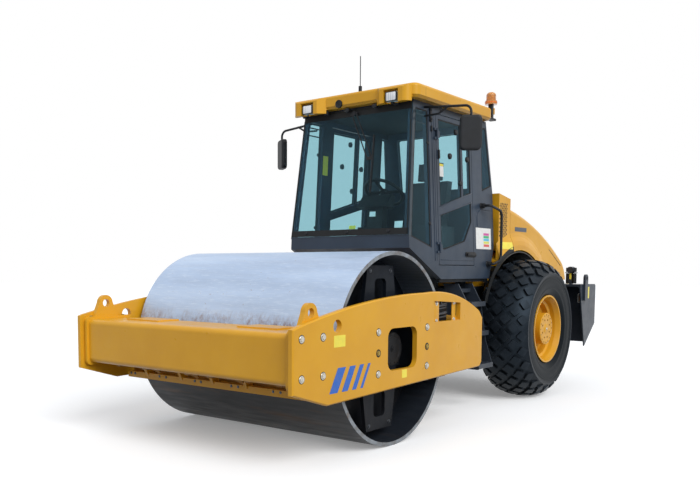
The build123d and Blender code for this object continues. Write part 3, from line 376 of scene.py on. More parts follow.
def ramp(mat, factor, stops):
    """Colour ramp from (position, colour hex or grey) pairs."""
    node = add_node(mat, "ShaderNodeValToRGB", {"Fac": factor})
    ends = node.color_ramp.elements
    while len(ends) < len(stops):
        ends.new(0.5)
    for item, (place, colour) in zip(ends, stops):
        item.position = place
        item.color = rgba(colour)
    return node.outputs["Color"]


def mix(mat, factor, first, second, blend="MIX"):
    """Blend two colours; each is a socket or a hex text."""
    node = add_node(mat, "ShaderNodeMix", data_type="RGBA", blend_type=blend)
    for key, value in (("Factor", factor), ("A", first), ("B", second)):
        socket = [s for s in node.inputs if s.name == key and s.enabled][0]
        if isinstance(value, str):
            socket.default_value = linear(value)
        elif isinstance(value, (int, float)):
            socket.default_value = value
        else:
            mat.node_tree.links.new(value, socket)
    return [s for s in node.outputs if s.enabled][0]


def mottle(mat, where, grain, stops):
    """Ramp over a noise; grain holds its size in millimetres and, if they matter, detail and roughness."""
    return ramp(mat, noise(mat, where, *grain), stops)


def bump(mat, height, depth_mm):
    return add_node(mat, "ShaderNodeBump", {"Height": height}, {"Distance": depth_mm * MM}).outputs["Normal"]


def surface(mat, links=None, **values):
    """Principled shader and output; values set its own sockets."""
    names = {"colour": "Base Color", "metal": "Metallic", "rough": "Roughness", "ior": "IOR",
             "coat": "Coat Weight", "coat_rough": "Coat Roughness", "normal": "Normal",
             "clear": "Transmission Weight", "sheen": "Sheen Weight", "glow": "Emission Strength",
             "glow_colour": "Emission Color", "tint": "Specular Tint", "specular": "Specular IOR Level"}
    fixed = {names[k]: (linear(v) if isinstance(v, str) else v) for k, v in values.items()}
    wires = {names[k]: v for k, v in (links or {}).items()}
    shader = add_node(mat, "ShaderNodeBsdfPrincipled", wires, fixed)
    add_node(mat, "ShaderNodeOutputMaterial", {"Surface": shader.outputs["BSDF"]})
    return mat


def height_mask(mat, low, high):
    """1 below low, 0 above high: for dust that gathers near the ground, for the drum's rust band and for the
    painted shade on the drum's lower half.
    """
    coords = add_node(mat, "ShaderNodeTexCoord")
    xyz = add_node(mat, "ShaderNodeSeparateXYZ", {"Vector": coords.outputs["Object"]})
    return add_node(mat, "ShaderNodeMapRange", {"Value": xyz.outputs["Z"]},
                    {"From Min": low, "From Max": high, "To Min": 1.0, "To Max": 0.0}).outputs["Result"]


def spoke(mat, axis):
    """Distance from an axle that runs along Y."""
    flat = object_coords(mat, (1.0, 0.0, 1.0))
    return add_node(mat, "ShaderNodeVectorMath", {0: flat}, {1: (axis.x, 0.0, axis.z)},
                    operation="DISTANCE").outputs["Value"]


def multiply(mat, first, second):
    node = add_node(mat, "ShaderNodeMath", operation="MULTIPLY")
    for socket, value in zip(node.inputs, (first, second)):
        if isinstance(value, (int, float)):
            socket.default_value = value
        else:
            mat.node_tree.links.new(value, socket)
    return node.outputs["Value"]


# ---------------------------------------------------------------- materials
def sprayed_enamel(mat, where, light, deep, gloss=0.32, dust=0.1, shine=0.28):
    """Sprayed enamel on steel plate: soft mottling, orange-peel ripple and a thin film of dust low down."""
    tone = mottle(mat, where, (420,), [(0.3, deep), (0.7, light)])
    film = multiply(mat, height_mask(mat, 0.1, 1.2), noise(mat, where, 60, 5))
    dusty = mix(mat, multiply(mat, film, dust), tone, "#6E614C")
    sheen = mottle(mat, where, (90, 4), [(0.3, gloss - 0.05), (0.75, gloss + 0.12)])
    peel = bump(mat, noise(mat, where, 3.5, 1), 0.05)
    return surface(mat, {"colour": dusty, "rough": sheen, "normal": peel},
                   coat=0.06, coat_rough=0.12, specular=shine)


def worn_roll_steel(mat, where):
    """Rolled drum steel: blue-grey, scuffed, freckled with rust, a rusty band, and painted shade on its lower half:
    dark grey mottled with brown dirt.
    """
    streak = object_coords(mat, (1.0, 0.12, 1.0))
    base = mottle(mat, streak, (160, 6, 0.6), [(0.25, "#A0B2CC"), (0.55, "#B7CAE4"), (0.8, "#CBDBF0")])
    scuff = mottle(mat, streak, (12, 8, 0.7), [(0.5, 0.0), (0.72, 1.0)])
    pale = mix(mat, multiply(mat, scuff, 0.5), base, "#DCE5F2")
    spots = mottle(mat, where, (22, 6, 0.7), [(0.64, 0.0), (0.70, 1.0)])
    patch = mottle(mat, where, (330, 4, 0.6), [(0.45, 0.0), (0.62, 1.0)])
    freckled = mix(mat, multiply(mat, spots, patch), pale, "#8A5C40")
    # painted shade: the drum's lower half is painted dark, fading out towards the axle's height
    painted_shade_below = ramp(mat, height_mask(mat, 0.48, 0.86), [(0.2, 0.0), (0.75, 1.0)])
    below = ramp(mat, height_mask(mat, 0.84, 0.92), [(0.0, 1.0), (1.0, 0.0)])
    band = multiply(mat, height_mask(mat, 0.95, 1.045), below)
    tufts = multiply(mat, band, mottle(mat, where, (240, 4, 0.6), [(0.40, 0.1), (0.60, 1.0)]))
    runs = ramp(mat, noise(mat, object_coords(mat, (0.6, 1.0, 0.6)), 34, 8, 0.8), [(0.40, 0.0), (0.62, 1.0)])
    stained = mix(mat, multiply(mat, tufts, runs), freckled, "#7F5640")
    # tone of the painted shade below: dark grey, mottled with brown dirt
    underside_shade_and_dirt = mottle(mat, streak, (120, 6, 0.65), [(0.3, "#212326"), (0.55, "#2E3033"), (0.70, "#4A3829")])
    with_shade_below = mix(mat, painted_shade_below, stained, underside_shade_and_dirt)
    inside = ramp(mat, spoke(mat, DRUM_AXIS), [(0.7195, 1.0), (0.7215, 0.0)])
    painted = mix(mat, inside, with_shade_below, "#1E2631")
    across = add_node(mat, "ShaderNodeSeparateXYZ", {"Vector": where})
    side = add_node(mat, "ShaderNodeMath", {0: across.outputs["Y"]}, operation="ABSOLUTE")
    rim = add_node(mat, "ShaderNodeMapRange", {"Value": side.outputs[0]}, {"From Min": 1.0635, "From Max": 1.0645})
    edge = mottle(mat, where, (60, 5, 0.7), [(0.35, "#8E969E"), (0.6, "#6E6F70"), (0.75, "#6F4E39")])
    rusty = mix(mat, rim.outputs["Result"], painted, edge)
    rough = mottle(mat, streak, (40, 5), [(0.3, 0.38), (0.7, 0.62)])
    relief = bump(mat, noise(mat, streak, 9, 6), 0.25)
    return surface(mat, {"colour": rusty, "rough": rough, "normal": relief}, metal=0.3)


def vulcanised_rubber(mat, where, tone="#12161B", dust="#262B31"):
    """Vulcanised tyre rubber: deep grey and dull, dust in the pores, duller on the walls, which carry painted shade
    that makes them darker.
    """
    worn = mottle(mat, where, (130, 6, 0.65), [(0.35, tone), (0.75, dust)])
    low = multiply(mat, height_mask(mat, 0.0, 0.5), noise(mat, where, 40, 5))
    dusty = mix(mat, multiply(mat, low, 0.2), worn, "#4A463E")
    reach = spoke(mat, WHEEL_AXIS)
    # painted shade: the hollow walls, inside the tread, are painted near black
    walls_painted_shade = mix(mat, ramp(mat, reach, [(0.56, 1.0), (0.60, 0.0)]), dusty, "#0D1114")
    shine = ramp(mat, reach, [(0.54, 0.10), (0.62, 0.30)])
    grain = bump(mat, noise(mat, where, 5, 4), 0.5)
    return surface(mat, {"colour": walls_painted_shade, "normal": grain, "specular": shine}, rough=0.42, tint="#A9C4DC")


def moulded_plastic(mat, where, tone="#0C0E12", rough=0.5, light="#16191E"):
    """Moulded plastic: fine spark-eroded grain."""
    shade = mottle(mat, where, (70,), [(0.3, tone), (0.8, light)])
    grain = bump(mat, noise(mat, where, 1.6, 2), 0.08)
    return surface(mat, {"colour": shade, "normal": grain}, rough=rough, specular=0.3)


def tinted_glass(mat, where, tone="#C0DDE2", dusty="#B6D2D8", tint="#93B8CA"):
    """Body-tinted safety glass: green-blue and clear, slightly greyer where dust clings.

    A thin pane passes light straight on; the white that it would mirror is a painted reflection, an even glow by
    Fresnel in the tint colour on the faces that look outwards."""
    film = mottle(mat, where, (5, 4), [(0.4, tone), (0.75, dusty)])
    # painted reflection: a Fresnel glow on the outward faces stands for the white that the pane would mirror
    facing = add_node(mat, "ShaderNodeMath", {1: add_node(mat, "ShaderNodeNewGeometry").outputs["Backfacing"]},
                      {0: 1.0}, operation="SUBTRACT")
    fresnel = add_node(mat, "ShaderNodeFresnel", None, {"IOR": 1.45})
    sheen = multiply(mat, facing.outputs[0], fresnel.outputs[0])
    mat.cycles.emission_sampling = "NONE"
    # the glow in the tint colour is the painted reflection; the pane's own specular is off
    return surface(mat, {"colour": film, "glow": sheen}, rough=0.0, glow_colour=tint, specular=0.0,
                   clear=1.0, ior=1.0)


def cast_amber(mat, where):
    """Amber acrylic of the beacon: saturated, clear-edged."""
    glow = mottle(mat, where, (18, 2), [(0.3, "#D9832A"), (0.8, "#F7B652")])
    return surface(mat, {"colour": glow}, rough=0.18, clear=0.35, coat=0.5)


def bright_zinc(mat, where, deep="#A9A59A", light="#DAD8D0"):
    """Zinc plating on bolts and washers: slightly blotched."""
    tone = mottle(mat, where, (9, 4), [(0.3, deep), (0.7, light)])
    return surface(mat, {"colour": tone}, metal=0.85, rough=0.36)


def printed_vinyl(mat, where, tone):
    """Printed vinyl film: even colour, faintly soiled, satin."""
    soiled = mix(mat, mottle(mat, where, (45, 5), [(0.45, 0.0), (0.9, 0.25)]), tone, "#8A8272")
    return surface(mat, {"colour": soiled}, rough=0.4)


def silvered_glass(mat, where):
    """Silvered mirror glass: bright, clear, with a light film."""
    film = mottle(mat, where, (90, 4), [(0.3, 0.03), (0.8, 0.12)])
    return surface(mat, {"rough": film}, colour="#D5DADF", metal=1.0)


def fluted_lens(mat, where):
    """Pressed lamp glass over a bright reflector: pale, fluted, with dark gaps between the flutes."""
    flutes = add_node(mat, "ShaderNodeTexWave", {"Vector": where}, {"Scale": 14.0, "Distortion": 0.6},
                      bands_direction="Y")
    tone = ramp(mat, flutes.outputs["Fac"], [(0.1, "#DCE0E5"), (0.6, "#F8F9FA")])
    return surface(mat, {"colour": tone, "normal": bump(mat, flutes.outputs["Fac"], 0.4)}, rough=0.15, coat=0.6)


def hard_chrome(mat, where):
    """Hard chrome on a cylinder rod: mirror bright with a film of oil."""
    film = mottle(mat, where, (30,), [(0.3, 0.08), (0.8, 0.2)])
    return surface(mat, {"rough": film}, colour="#C9CBD0", metal=1.0)


def woven_seat(mat, where):
    """Ribbed seat fabric over foam: dark, matt, with a soft sheen."""
    tone = mottle(mat, where, (4, 2), [(0.35, "#1B1D21"), (0.7, "#2F3238")])
    weave = add_node(mat, "ShaderNodeTexWave", {"Vector": where}, {"Scale": 60.0, "Distortion": 0.4})
    relief = bump(mat, weave.outputs["Fac"], 0.4)
    return surface(mat, {"colour": tone, "normal": relief}, rough=0.85, sheen=0.3)


FINISHES = (  # finish, how it is made, name, its tones and settings, slot of the record
    ("grey_paint", sprayed_enamel, "sprayed_enamel_dark_grey", ("#303843", "#262D37", 0.34, 0.12, 0.3),
     "grey_paint"),
    ("black_metal", sprayed_enamel, "sprayed_enamel_black", ("#12161B", "#0C0E12", 0.5, 0.1, 0.12),
     "black_metal"),
    # the yellow paint made darker: painted shade on small bolts and on the hangers under the beam
    ("yellow_dark", sprayed_enamel, "sprayed_enamel_yellow_bolt", ("#A97825", "#8C6119", 0.4), "yellow_paint"),
    ("carrier_paint", sprayed_enamel, "sprayed_enamel_navy", ("#171D26", "#10151C", 0.5, 0.1, 0.12),
     "black_metal"),
    ("tinted_glass", tinted_glass, "body_tinted_glass", (), "tinted_glass"),
    ("lamp_glass", tinted_glass, "clear_lamp_glass", ("#F2F5F7", "#FFFFFF"), "lamp_glass"),
    ("lamp_lens", fluted_lens, "pressed_lamp_glass", (), "lamp_glass"),
    ("mirror_glass", silvered_glass, "silvered_mirror_glass", (), "chromed_rod"),
    ("amber_plastic", cast_amber, "cast_amber_acrylic", (), "amber_plastic"),
    ("beacon_orange", moulded_plastic, "moulded_orange_plastic", ("#D9661A", 0.35, "#E87B25"), "amber_plastic"),
    ("black_plastic", moulded_plastic, "moulded_black_plastic", (), "black_plastic"),
    ("black_rubber", moulded_plastic, "extruded_black_rubber", ("#0A0C0E", 0.6, "#101316"), "black_plastic"),
    ("headlining", moulded_plastic, "padded_grey_headlining", ("#161C21", 0.8, "#1F262C"), "black_plastic"),
    ("dark_pane", moulded_plastic, "black_backed_pane", ("#2C3840", 0.12, "#35424B"), "black_plastic"),
    ("wet_liner", moulded_plastic, "oiled_arch_liner", ("#211E16", 0.3, "#383223"), "black_plastic"),
    ("seat_cloth", woven_seat, "woven_seat_fabric", (), "seat_cloth"),
    ("drum_steel", worn_roll_steel, "rolled_drum_steel", (), "drum_steel"),
    ("tyre_rubber", vulcanised_rubber, "vulcanised_rubber", (), "tyre_rubber"),
    ("chromed_rod", hard_chrome, "hard_chrome", (), "chromed_rod"),
    ("zinc", bright_zinc, "bright_zinc", (), "chromed_rod"),
    ("zinc_yellow", bright_zinc, "yellow_passivated_zinc", ("#8C7A3E", "#B59C55"), "chromed_rod"),
    ("zinc_rusty", bright_zinc, "rusted_zinc", ("#5E3F2C", "#9A7450"), "chromed_rod"),
    ("dark_bolt", bright_zinc, "blackened_zinc", ("#3A3D42", "#565A60"), "chromed_rod"),
)
VINYLS = (  # colour, its tone, slot of the record
    ("yellow", "#F1E04C", "yellow_paint"),
    ("blue", "#1C5FBA", "black_plastic"),
    ("white", "#EDEDEA", "black_plastic"),
    ("grey", "#3C4652", "black_plastic"),
    ("magenta", "#D85AA6", "black_plastic"),
    ("green", "#3FB97A", "black_plastic"),
    ("cyan", "#57C4E6", "black_plastic"),
    ("lime", "#E2E36A", "black_plastic"),
    ("red", "#E0605A", "black_plastic"),
)
FINISHES += tuple(("label_" + hue, printed_vinyl, "printed_vinyl_" + hue, (tone,), slot)
                  for hue, tone, slot in VINYLS)
NODE_PAINT = {"drum_carriers": "carrier_paint", "drum_webs": "carrier_paint"}
SLOTS = {finish: slot for finish, _, _, _, slot in FINISHES}
SLOTS |= {"yellow_paint": "yellow_paint", "cab_paint": "cab_paint"}
MATERIALS = {}


def make_materials(colours):
    paints = (
        ("yellow_paint", sprayed_enamel, "sprayed_enamel_yellow", (colours.yellow, colours.yellow_deep), None),
        ("cab_paint", sprayed_enamel, "sprayed_enamel_slate", (colours.slate, colours.slate_deep, 0.36), None),
    )
    for finish, maker, name, values, _ in paints + FINISHES:
        mat = blank_material(name)
        MATERIALS[finish] = maker(mat, object_coords(mat), *values)


def dress_cad_nodes():
    """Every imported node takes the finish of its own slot, but for those painted apart."""
    finishes = {part["node"]: part["material_slot"] for part in frame["record"]["subparts"]} | NODE_PAINT
    for name, obj in frame["nodes"].items():
        obj.data.materials.clear()
        obj.data.materials.append(MATERIALS[finishes[name]])


# ---------------------------------------------------------------- tyres and wheels
TYRE_R = 735.0
TREAD_STEP = 92.0            # between rows across the tread, along its curve
TREAD_ROWS = 3               # each side of the middle row
TREAD_SECTION = (            # radius and distance from the tyre's middle, from the crown down
    (735.0, 0.0), (735.0, 22.0), (729.0, 86.0), (713.0, 158.0), (690.0, 208.0), (662.0, 242.0),
    (628.0, 268.0), (602.0, 282.0), (588.0, 291.0), (572.0, 287.0), (556.0, 278.0), (520.0, 280.0),
    (460.0, 278.0), (405.0, 266.0), (343.0, 228.0),
)
GROOVE_END_R, GROOVE_FADE = 578.0, 75.0       # the grooves run out at this radius, over this height
BLOCK_HALF = 0.72                             # half a block's diagonal, in steps
BLOCK_SKIRT, BLOCK_CORNER = 4.0, 15.0         # how far a block goes under the grooves, its rounding
BLOCK_TAPER, BLOCK_RIM, BLOCK_CROWN = 0.93, 4.0, 3.0
TYRE_STEPS = 112
WALL_RINGS = ((536.0, 1.6), (430.0, 1.6))     # radius and height of the wall's ribs
RIB = ((5, 0.0), (2, 0.6), (-2, 0.6), (-5, 0.0))   # step from that radius, share of that height


def tread_point(along, lift):
    """Radius and side distance of a point on the tread's curve, lifted off it."""
    side, left = math.copysign(1, along), abs(along)
    for (r0, y0), (r1, y1) in zip(TREAD_SECTION, TREAD_SECTION[1:]):
        run = math.hypot(r1 - r0, y1 - y0)
        if left <= run:
            break
        left -= run
    share = left / run
    normal_r, normal_y = (y1 - y0) / run, (r0 - r1) / run
    return (r0 + (r1 - r0) * share + normal_r * lift, side * (y0 + (y1 - y0) * share + normal_y * lift))


def tread_block(depth):
    """One square block stood on its corner, in millimetres: crowned, eased, tapering to the tread's floor."""
    half = TREAD_STEP * BLOCK_HALF
    corners = [Vector(spot) for spot in ((half, 0, 0), (0, half, 0), (-half, 0, 0), (0, -half, 0))]
    block = plate(corners, (0, 0, -depth - BLOCK_SKIRT), BLOCK_CORNER, unit=1.0)
    edit(block)
    pick(block, lambda c, n: n.z > 0.9)
    bpy.ops.transform.resize(value=(BLOCK_TAPER, BLOCK_TAPER, 1))
    bpy.ops.mesh.inset(thickness=BLOCK_RIM)
    pick(block, lambda c, n: n.z > 0.9 and math.hypot(c.x, c.y) < 5)
    bpy.ops.transform.translate(value=(0, 0, BLOCK_CROWN))
    pick(block, lambda c, n: n.z > 0.9)
    bpy.ops.mesh.poke()
    pick(block, lambda c, n: n.z < -0.9)
    bpy.ops.mesh.delete(type="FACE")
    done()
    return block


def make_tyres(sizes):
    depth = sizes.tread_depth / MM
    pitch = math.tau * TYRE_R / sizes.tread_count
    places = [(Vector((0.5 * pitch * (row % 2), row * TREAD_STEP, 0)), UP, 1.0)
              for row in range(-TREAD_ROWS, TREAD_ROWS + 1)]
    tread = scatter(tread_block(depth), places)
    for vertex in tread.data.vertices:
        round_tyre, along, lift = vertex.co
        radius, side = tread_point(along, min(lift, 0.0))
        angle = round_tyre / TYRE_R
        vertex.co = WHEEL_AXIS + at(radius * math.sin(angle), side, radius * math.cos(angle))
    repeat(tread, sizes.tread_count, centre=WHEEL_AXIS, axis="Y")

    along = 0.0
    outer = []
    for (r0, y0), (r1, y1) in zip(TREAD_SECTION, TREAD_SECTION[1:]):
        outer.append(tread_point(along, -depth * min(max((r0 - GROOVE_END_R) / GROOVE_FADE, 0.0), 1.0)))
        along += math.hypot(r1 - r0, y1 - y0)
    outer.append(TREAD_SECTION[-1])
    ribbed = []
    for (r0, y0), (r1, y1) in zip(outer, outer[1:]):
        ribbed.append((r0, y0))
        for ring, high in WALL_RINGS:
            if r1 < ring < r0:
                side = y0 + (y1 - y0) * (r0 - ring) / (r0 - r1)
                ribbed += [(ring + step, side + high * share) for step, share in RIB]
    ribbed.append(outer[-1])
    profile = ribbed + [(r, -y) for r, y in reversed(ribbed) if y > 0.5]
    carcass = lathe(profile, WHEEL_AXIS, LEFT, TYRE_STEPS, closed=True)
    for obj in settle([carcass, tread], "tyre_tread_left", "tyre_rubber", "wheel_left", "wheel_right", smooth=38):
        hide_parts("tyre_" + ("left" if "left" in obj.name else "right"))


HUB_FACE_Y = 1050.0
WHEEL_BOLTS = (  # piece, how far out it sits, rings of radius, count, turn in degrees and size
    ("hub_bolts_left", HUB_FACE_Y, ((148.0, 16, 0.0, 17.0), (98.0, 8, 22.5, 15.0))),
    ("wheel_nuts_left", 885.0, ((196.0, 12, 15.0, 26.0),)),
)
HUB_CAP = ((0, 5), (46, 5), (52, 2), (54, 0))                       # turned profiles: radius, height
HUB_RING = ((160, 4), (166, 2), (168, 0), (130, 0), (132, 3))
FILL_PLUG = ((0, 9), (9, 9), (12, 6), (12, 0))
VALVE_SEAT = ((0, 3), (30, 3), (34, 0))
VALVE_STEM = ((-150, 888, 136), (-162, 950, 148), (-150, 990, 138))


def ring_places(axis, out, radius, count, start, size):
    """Places round an axle along Y, looking outwards."""
    turns = [math.radians(start) + math.tau * i / count for i in range(count)]
    return [(off_axis(axis, radius * math.cos(t), out, radius * math.sin(t)), LEFT, size) for t in turns]


def make_wheel_fittings():
    told = {"body": "wheel_left", "twin": "wheel_right"}
    for name, out, rings in WHEEL_BOLTS:
        places = [place for ring in rings for place in ring_places(WHEEL_AXIS, out, *ring)]
        # painted shade: the hub bolts and wheel nuts take the darker yellow
        bolts(places, name, "yellow_dark", **told)
    cap = [lathe(HUB_CAP, off_axis(WHEEL_AXIS, 0, HUB_FACE_Y, 0), LEFT, 28),
           lathe(HUB_RING, off_axis(WHEEL_AXIS, 0, HUB_FACE_Y - 0.5, 0), LEFT, 48, closed=True)]
    settle(cap, "hub_cap_left", "yellow_paint", **told)
    plug = lathe(FILL_PLUG, off_axis(WHEEL_AXIS, 0, HUB_FACE_Y + 4, 0), LEFT, 12)
    settle(plug, "fill_plug_left", "zinc", **told)
    stem = [pipe([off_axis(WHEEL_AXIS, *spot) for spot in VALVE_STEM], 8, 20),
            lathe(VALVE_SEAT, off_axis(WHEEL_AXIS, -154, 889, 140), LEFT, 20)]
    settle(stem, "valve_stem_left", "black_plastic", **told)


# ---------------------------------------------------------------- front frame
FRONT = {"body": "front_unit", "twin": "same"}
PLATE_Y = 1150.0
SIDE_BOLTS = (  # x, z, bright
    (2853.0, 911.0, True), (2628.0, 911.0, True), (2853.0, 651.0, True), (2628.0, 651.0, True),
    (1972.0, 904.0, True), (1972.0, 750.0, False), (1972.0, 596.0, True),
    (1282.0, 904.0, True), (1282.0, 750.0, False), (1282.0, 596.0, True),
)
BOLT_KINDS = ((True, "plate_bolts", "zinc", 1.0), (False, "recessed_bolts", "zinc_yellow", 0.8))
BOLT_SEAT = ((20, 2.2), (28, 2.2), (30, 0), (18, 0))
PLATE_DECALS = ((2381.0, 832.0, 2511.0, 913.0), (1580.0, 534.0, 1650.0, 597.0))  # x, z low; x, z high
LABEL_LIFT = 0.2
STRIPES = (  # foot x, width; slanted blue bars that fall back to the rear as they rise
    (2560.0, 92.0), (2420.0, 70.0), (2300.0, 50.0), (2200.0, 32.0),
)
STRIPE_Z = (520.0, 690.0)
STRIPE_LEAN = 96.0
HATCH_STRAPS = ((1053.0, 1137.0), (772.0, 836.0))    # x from, x to
HATCH_Z = (926.0, 1096.0)
STRAP_OUT = -26.0
HATCH_BACKING = ((836, 1068, 918), (1068, 1073, 1112), 1)                    # low corner, high corner, edge
HOSE_CLIP = ((960, 1084, 1078), (978, 1100, 1108), 3)
HATCH_HOSES = ((1062.0, 12.0), (1038.0, 7.0), (994.0, 11.0), (964.0, 8.0))   # height and radius
HOSE_RUN = ((1066, 1091, 0), (980, 1093, 1), (880, 1090, 7))                 # z is from the hose's height
MOTOR_COVER = ((0, 9), (24, 9), (26, 4), (96, 4), (100, 7), (124, 7), (129, 3), (129, 0))
MOTOR_Y = 1045.0
MOTOR_BOLTS = (112, 12, 15, 13.0)                   # ring radius, count, turn in degrees, size


def on_plate(x, z, out=0.0):
    return at(x, PLATE_Y + out, z)


def make_side_plate_fittings(sizes):
    bolt = sizes.plate_bolt / MM
    for bright, name, finish, share in BOLT_KINDS:
        places = [(on_plate(x, z), LEFT, bolt * share) for x, z, kind in SIDE_BOLTS if kind == bright]
        bolts(places, name, finish, **FRONT)
    seats = [lathe(BOLT_SEAT, on_plate(x, z), LEFT, 20, closed=True) for x, z, _ in SIDE_BOLTS]
    settle(seats, "bolt_seats", "black_metal", **FRONT)
    labels = [plate([on_plate(x, z, LABEL_LIFT) for x, z in rect(*spot)], LEFT, 4) for spot in PLATE_DECALS]
    settle(labels, "blank_labels_plate", "label_yellow", **FRONT)
    low, high = STRIPE_Z
    bars = []
    for x, width in STRIPES:
        corners = [(x, low), (x - width, low), (x - width - STRIPE_LEAN, high), (x - STRIPE_LEAN, high)]
        bars.append(plate([on_plate(cx, cz, LABEL_LIFT) for cx, cz in corners], LEFT, 3))
    settle(bars, "plate_stripes", "label_blue", **FRONT)

    z0, z1 = HATCH_Z
    face = PLATE_Y + STRAP_OUT
    straps = [((x0, face - 8, z0 - 22), (x1, face, z1 + 24), 2.0) for x0, x1 in HATCH_STRAPS]
    blocks(straps, "hatch_straps", "yellow_paint", **FRONT)
    places = [(at((x0 + x1) / 2, face, z), LEFT, 26.0) for x0, x1 in HATCH_STRAPS for z in (z0 + 16, z1 - 12)]
    bolts(places, "hatch_bolts", "zinc", **FRONT)
    blocks([HATCH_BACKING], "hatch_backing", "black_rubber", slot="black_metal", **FRONT)
    hoses = [pipe([at(x, y, height + z) for x, y, z in HOSE_RUN], radius, 40) for height, radius in HATCH_HOSES]
    hoses.append(box_piece(*HOSE_CLIP))
    settle(hoses, "hatch_hoses", "dark_bolt", slot="black_metal", **FRONT)

    disc = lathe(MOTOR_COVER, off_axis(DRUM_AXIS, 0, MOTOR_Y, 0), LEFT, 48)
    settle(disc, "motor_cover", "black_metal", **FRONT)
    places = ring_places(DRUM_AXIS, MOTOR_Y + 6, *MOTOR_BOLTS)
    places.append((off_axis(DRUM_AXIS, 0, MOTOR_Y + 8, 0), LEFT, 26.0))
    bolts(places, "motor_bolts", "black_metal", **FRONT)


CARRIER_FACE_Y = 930.0
CARRIER_BOLTS = ((140, 600), (205, 250), (60, 330))    # x and z from the drum's axis, in all four quarters
SCRAPER_BOLTS = (-980, -930, -620, -540, -200, -130, 200, 270, 620, 690, 930, 985)
BEAM_BOLTS = (70, -60, 1084)                        # x from each end of the beam, y
SCRAPER_X, SCRAPER_Z = 2530.5, 482
HANGER_PLATE = ((2466, -1015, 492), (2474, 1015, 597), 1)
UNDER_FINS = ((-690.0, -470.0), (-250.0, -30.0), (230.0, 440.0))    # y from, y to
FIN_X, FIN_THICK = 2640, 14
UNDER_TABS = (-880, -560, -60, 180, 560, 860)


def make_front_frame_fittings():
    places = [(off_axis(DRUM_AXIS, sx * x, CARRIER_FACE_Y, sz * z), LEFT, 24.0)
              for x, z in CARRIER_BOLTS for sz in (1, -1) for sx in (-1, 1)]
    bolts(places, "carrier_bolts", "dark_bolt", **FRONT)
    low, high = BOX("front_beam")
    rear, front, y = (v * MM for v in BEAM_BOLTS)
    places = [(Vector((x, side * y, high.z)), UP, 22.0) for x in (low.x + rear, high.x + front) for side in (-1, 1)]
    bolts(places, "beam_bolts", "zinc_yellow", "front_unit")
    places = [(at(SCRAPER_X, y, SCRAPER_Z), AHEAD, 16.0) for y in SCRAPER_BOLTS]
    bolts(places, "scraper_bolts", "dark_bolt", "front_unit")
    hangers = [box_piece(*HANGER_PLATE)]
    for y0, y1 in UNDER_FINS:
        outline = ((y0, 596), (y0, 588), (y1 - 14, 532), (y1, 538), (y1 - 24, 596))
        hangers.append(plate([at(FIN_X, y, z) for y, z in outline], (FIN_THICK, 0, 0), 0, 2))
    hangers += [box_piece((2660, y - 26, 562), (2740, y + 26, 597), 4) for y in UNDER_TABS]
    # painted shade: the hangers under the beam take the darker yellow
    settle(hangers, "beam_hangers", "yellow_dark", "front_unit")


# ---------------------------------------------------------------- cab
CAB_TOP_Z = 2855.0
CAB_TOP_Y = 610.0
CAB_LEAN = math.radians(2.9)
SIDE_OUT = Vector((0, math.cos(CAB_LEAN), math.sin(CAB_LEAN)))
SCREEN_LOW = (808.0, 1667.0)
SCREEN_TOP = (673.0, 2826.0)
SCREEN_LEAN = math.atan2(SCREEN_LOW[0] - SCREEN_TOP[0], SCREEN_TOP[1] - SCREEN_LOW[1])
SCREEN_OUT = Vector((math.cos(SCREEN_LEAN), 0, math.sin(SCREEN_LEAN)))
BACK_LOW = (-853.0, 2150.0)
BACK_TOP = (-743.0, 2855.0)
CORNER_PANE = ((767.0, 1650.0), (428.0, 1560.0), (428.0, 2790.0), (635.0, 2790.0))
QUARTER_PANE = ((-616.0, 2145.0), (-822.0, 2210.0), (-735.0, 2790.0), (-616.0, 2790.0))
DOOR_PANES = (
    ((238.0, 1935.0), (-182.0, 2050.0), (-182.0, 2745.0), (238.0, 2745.0)),
    ((-212.0, 2058.0), (-372.0, 2102.0), (-372.0, 2745.0), (-212.0, 2745.0)),
    ((238.0, 1866.0), (-374.0, 2022.0), (-374.0, 1822.0), (-223.0, 1629.0), (183.0, 1542.0), (238.0, 1560.0)),
)
DOORS = {"body": "door_left", "twin": "door_right"}


def clinging_sheet(node, low, high, lift=1.0):
    """Thin sheet laid from outside on a CAD node's curved left flank, between two (x, z) corners."""
    (x0, z0), (x1, z1) = low, high
    deselect()
    bpy.ops.mesh.primitive_grid_add(x_subdivisions=18, y_subdivisions=8, size=1, rotation=(-math.pi / 2, 0, 0),
                                    location=at((x0 + x1) / 2, 800, (z0 + z1) / 2))
    sheet = bpy.context.object
    sheet.scale = ((x1 - x0) * MM, (z1 - z0) * MM, 1)
    bpy.ops.object.transform_apply()
    wrap = sheet.modifiers.new("wrap", "SHRINKWRAP")
    wrap.target = bpy.data.objects[node]
    wrap.wrap_method = "PROJECT"
    wrap.use_project_y = True
    wrap.use_positive_direction = False
    wrap.use_negative_direction = True
    wrap.offset = lift * MM
    bpy.ops.object.modifier_apply(modifier="wrap")
    thick = sheet.modifiers.new("thick", "SOLIDIFY")
    thick.thickness = 0.6 * MM
    thick.offset = 1.0
    bpy.ops.object.modifier_apply(modifier="thick")
    return sheet


def side_y(z):
    """How far out the cab's leaning left side is at a height."""
    return CAB_TOP_Y + (CAB_TOP_Z - z) * math.tan(CAB_LEAN)


def cab_side(x, z, out=0.0):
    return at(x, side_y(z) + out, z)


def side_piece(outline, out, thick, corner=0.0, edge=0.0, frame_width=0.0):
    """Plate that lies on the leaning side, out millimetres from its face."""
    return plate([cab_side(x, z, out) for x, z in outline], SIDE_OUT * thick, corner, edge, frame_width)


def strip(x0, z0, x1, z1, width):
    """Outline of a straight strip between two points, width across."""
    along = Vector((x1 - x0, z1 - z0)).normalized() * width / 2
    dx, dz = -along.y, along.x
    return [(x0 + dx, z0 + dz), (x1 + dx, z1 + dz), (x1 - dx, z1 - dz), (x0 - dx, z0 - dz)]


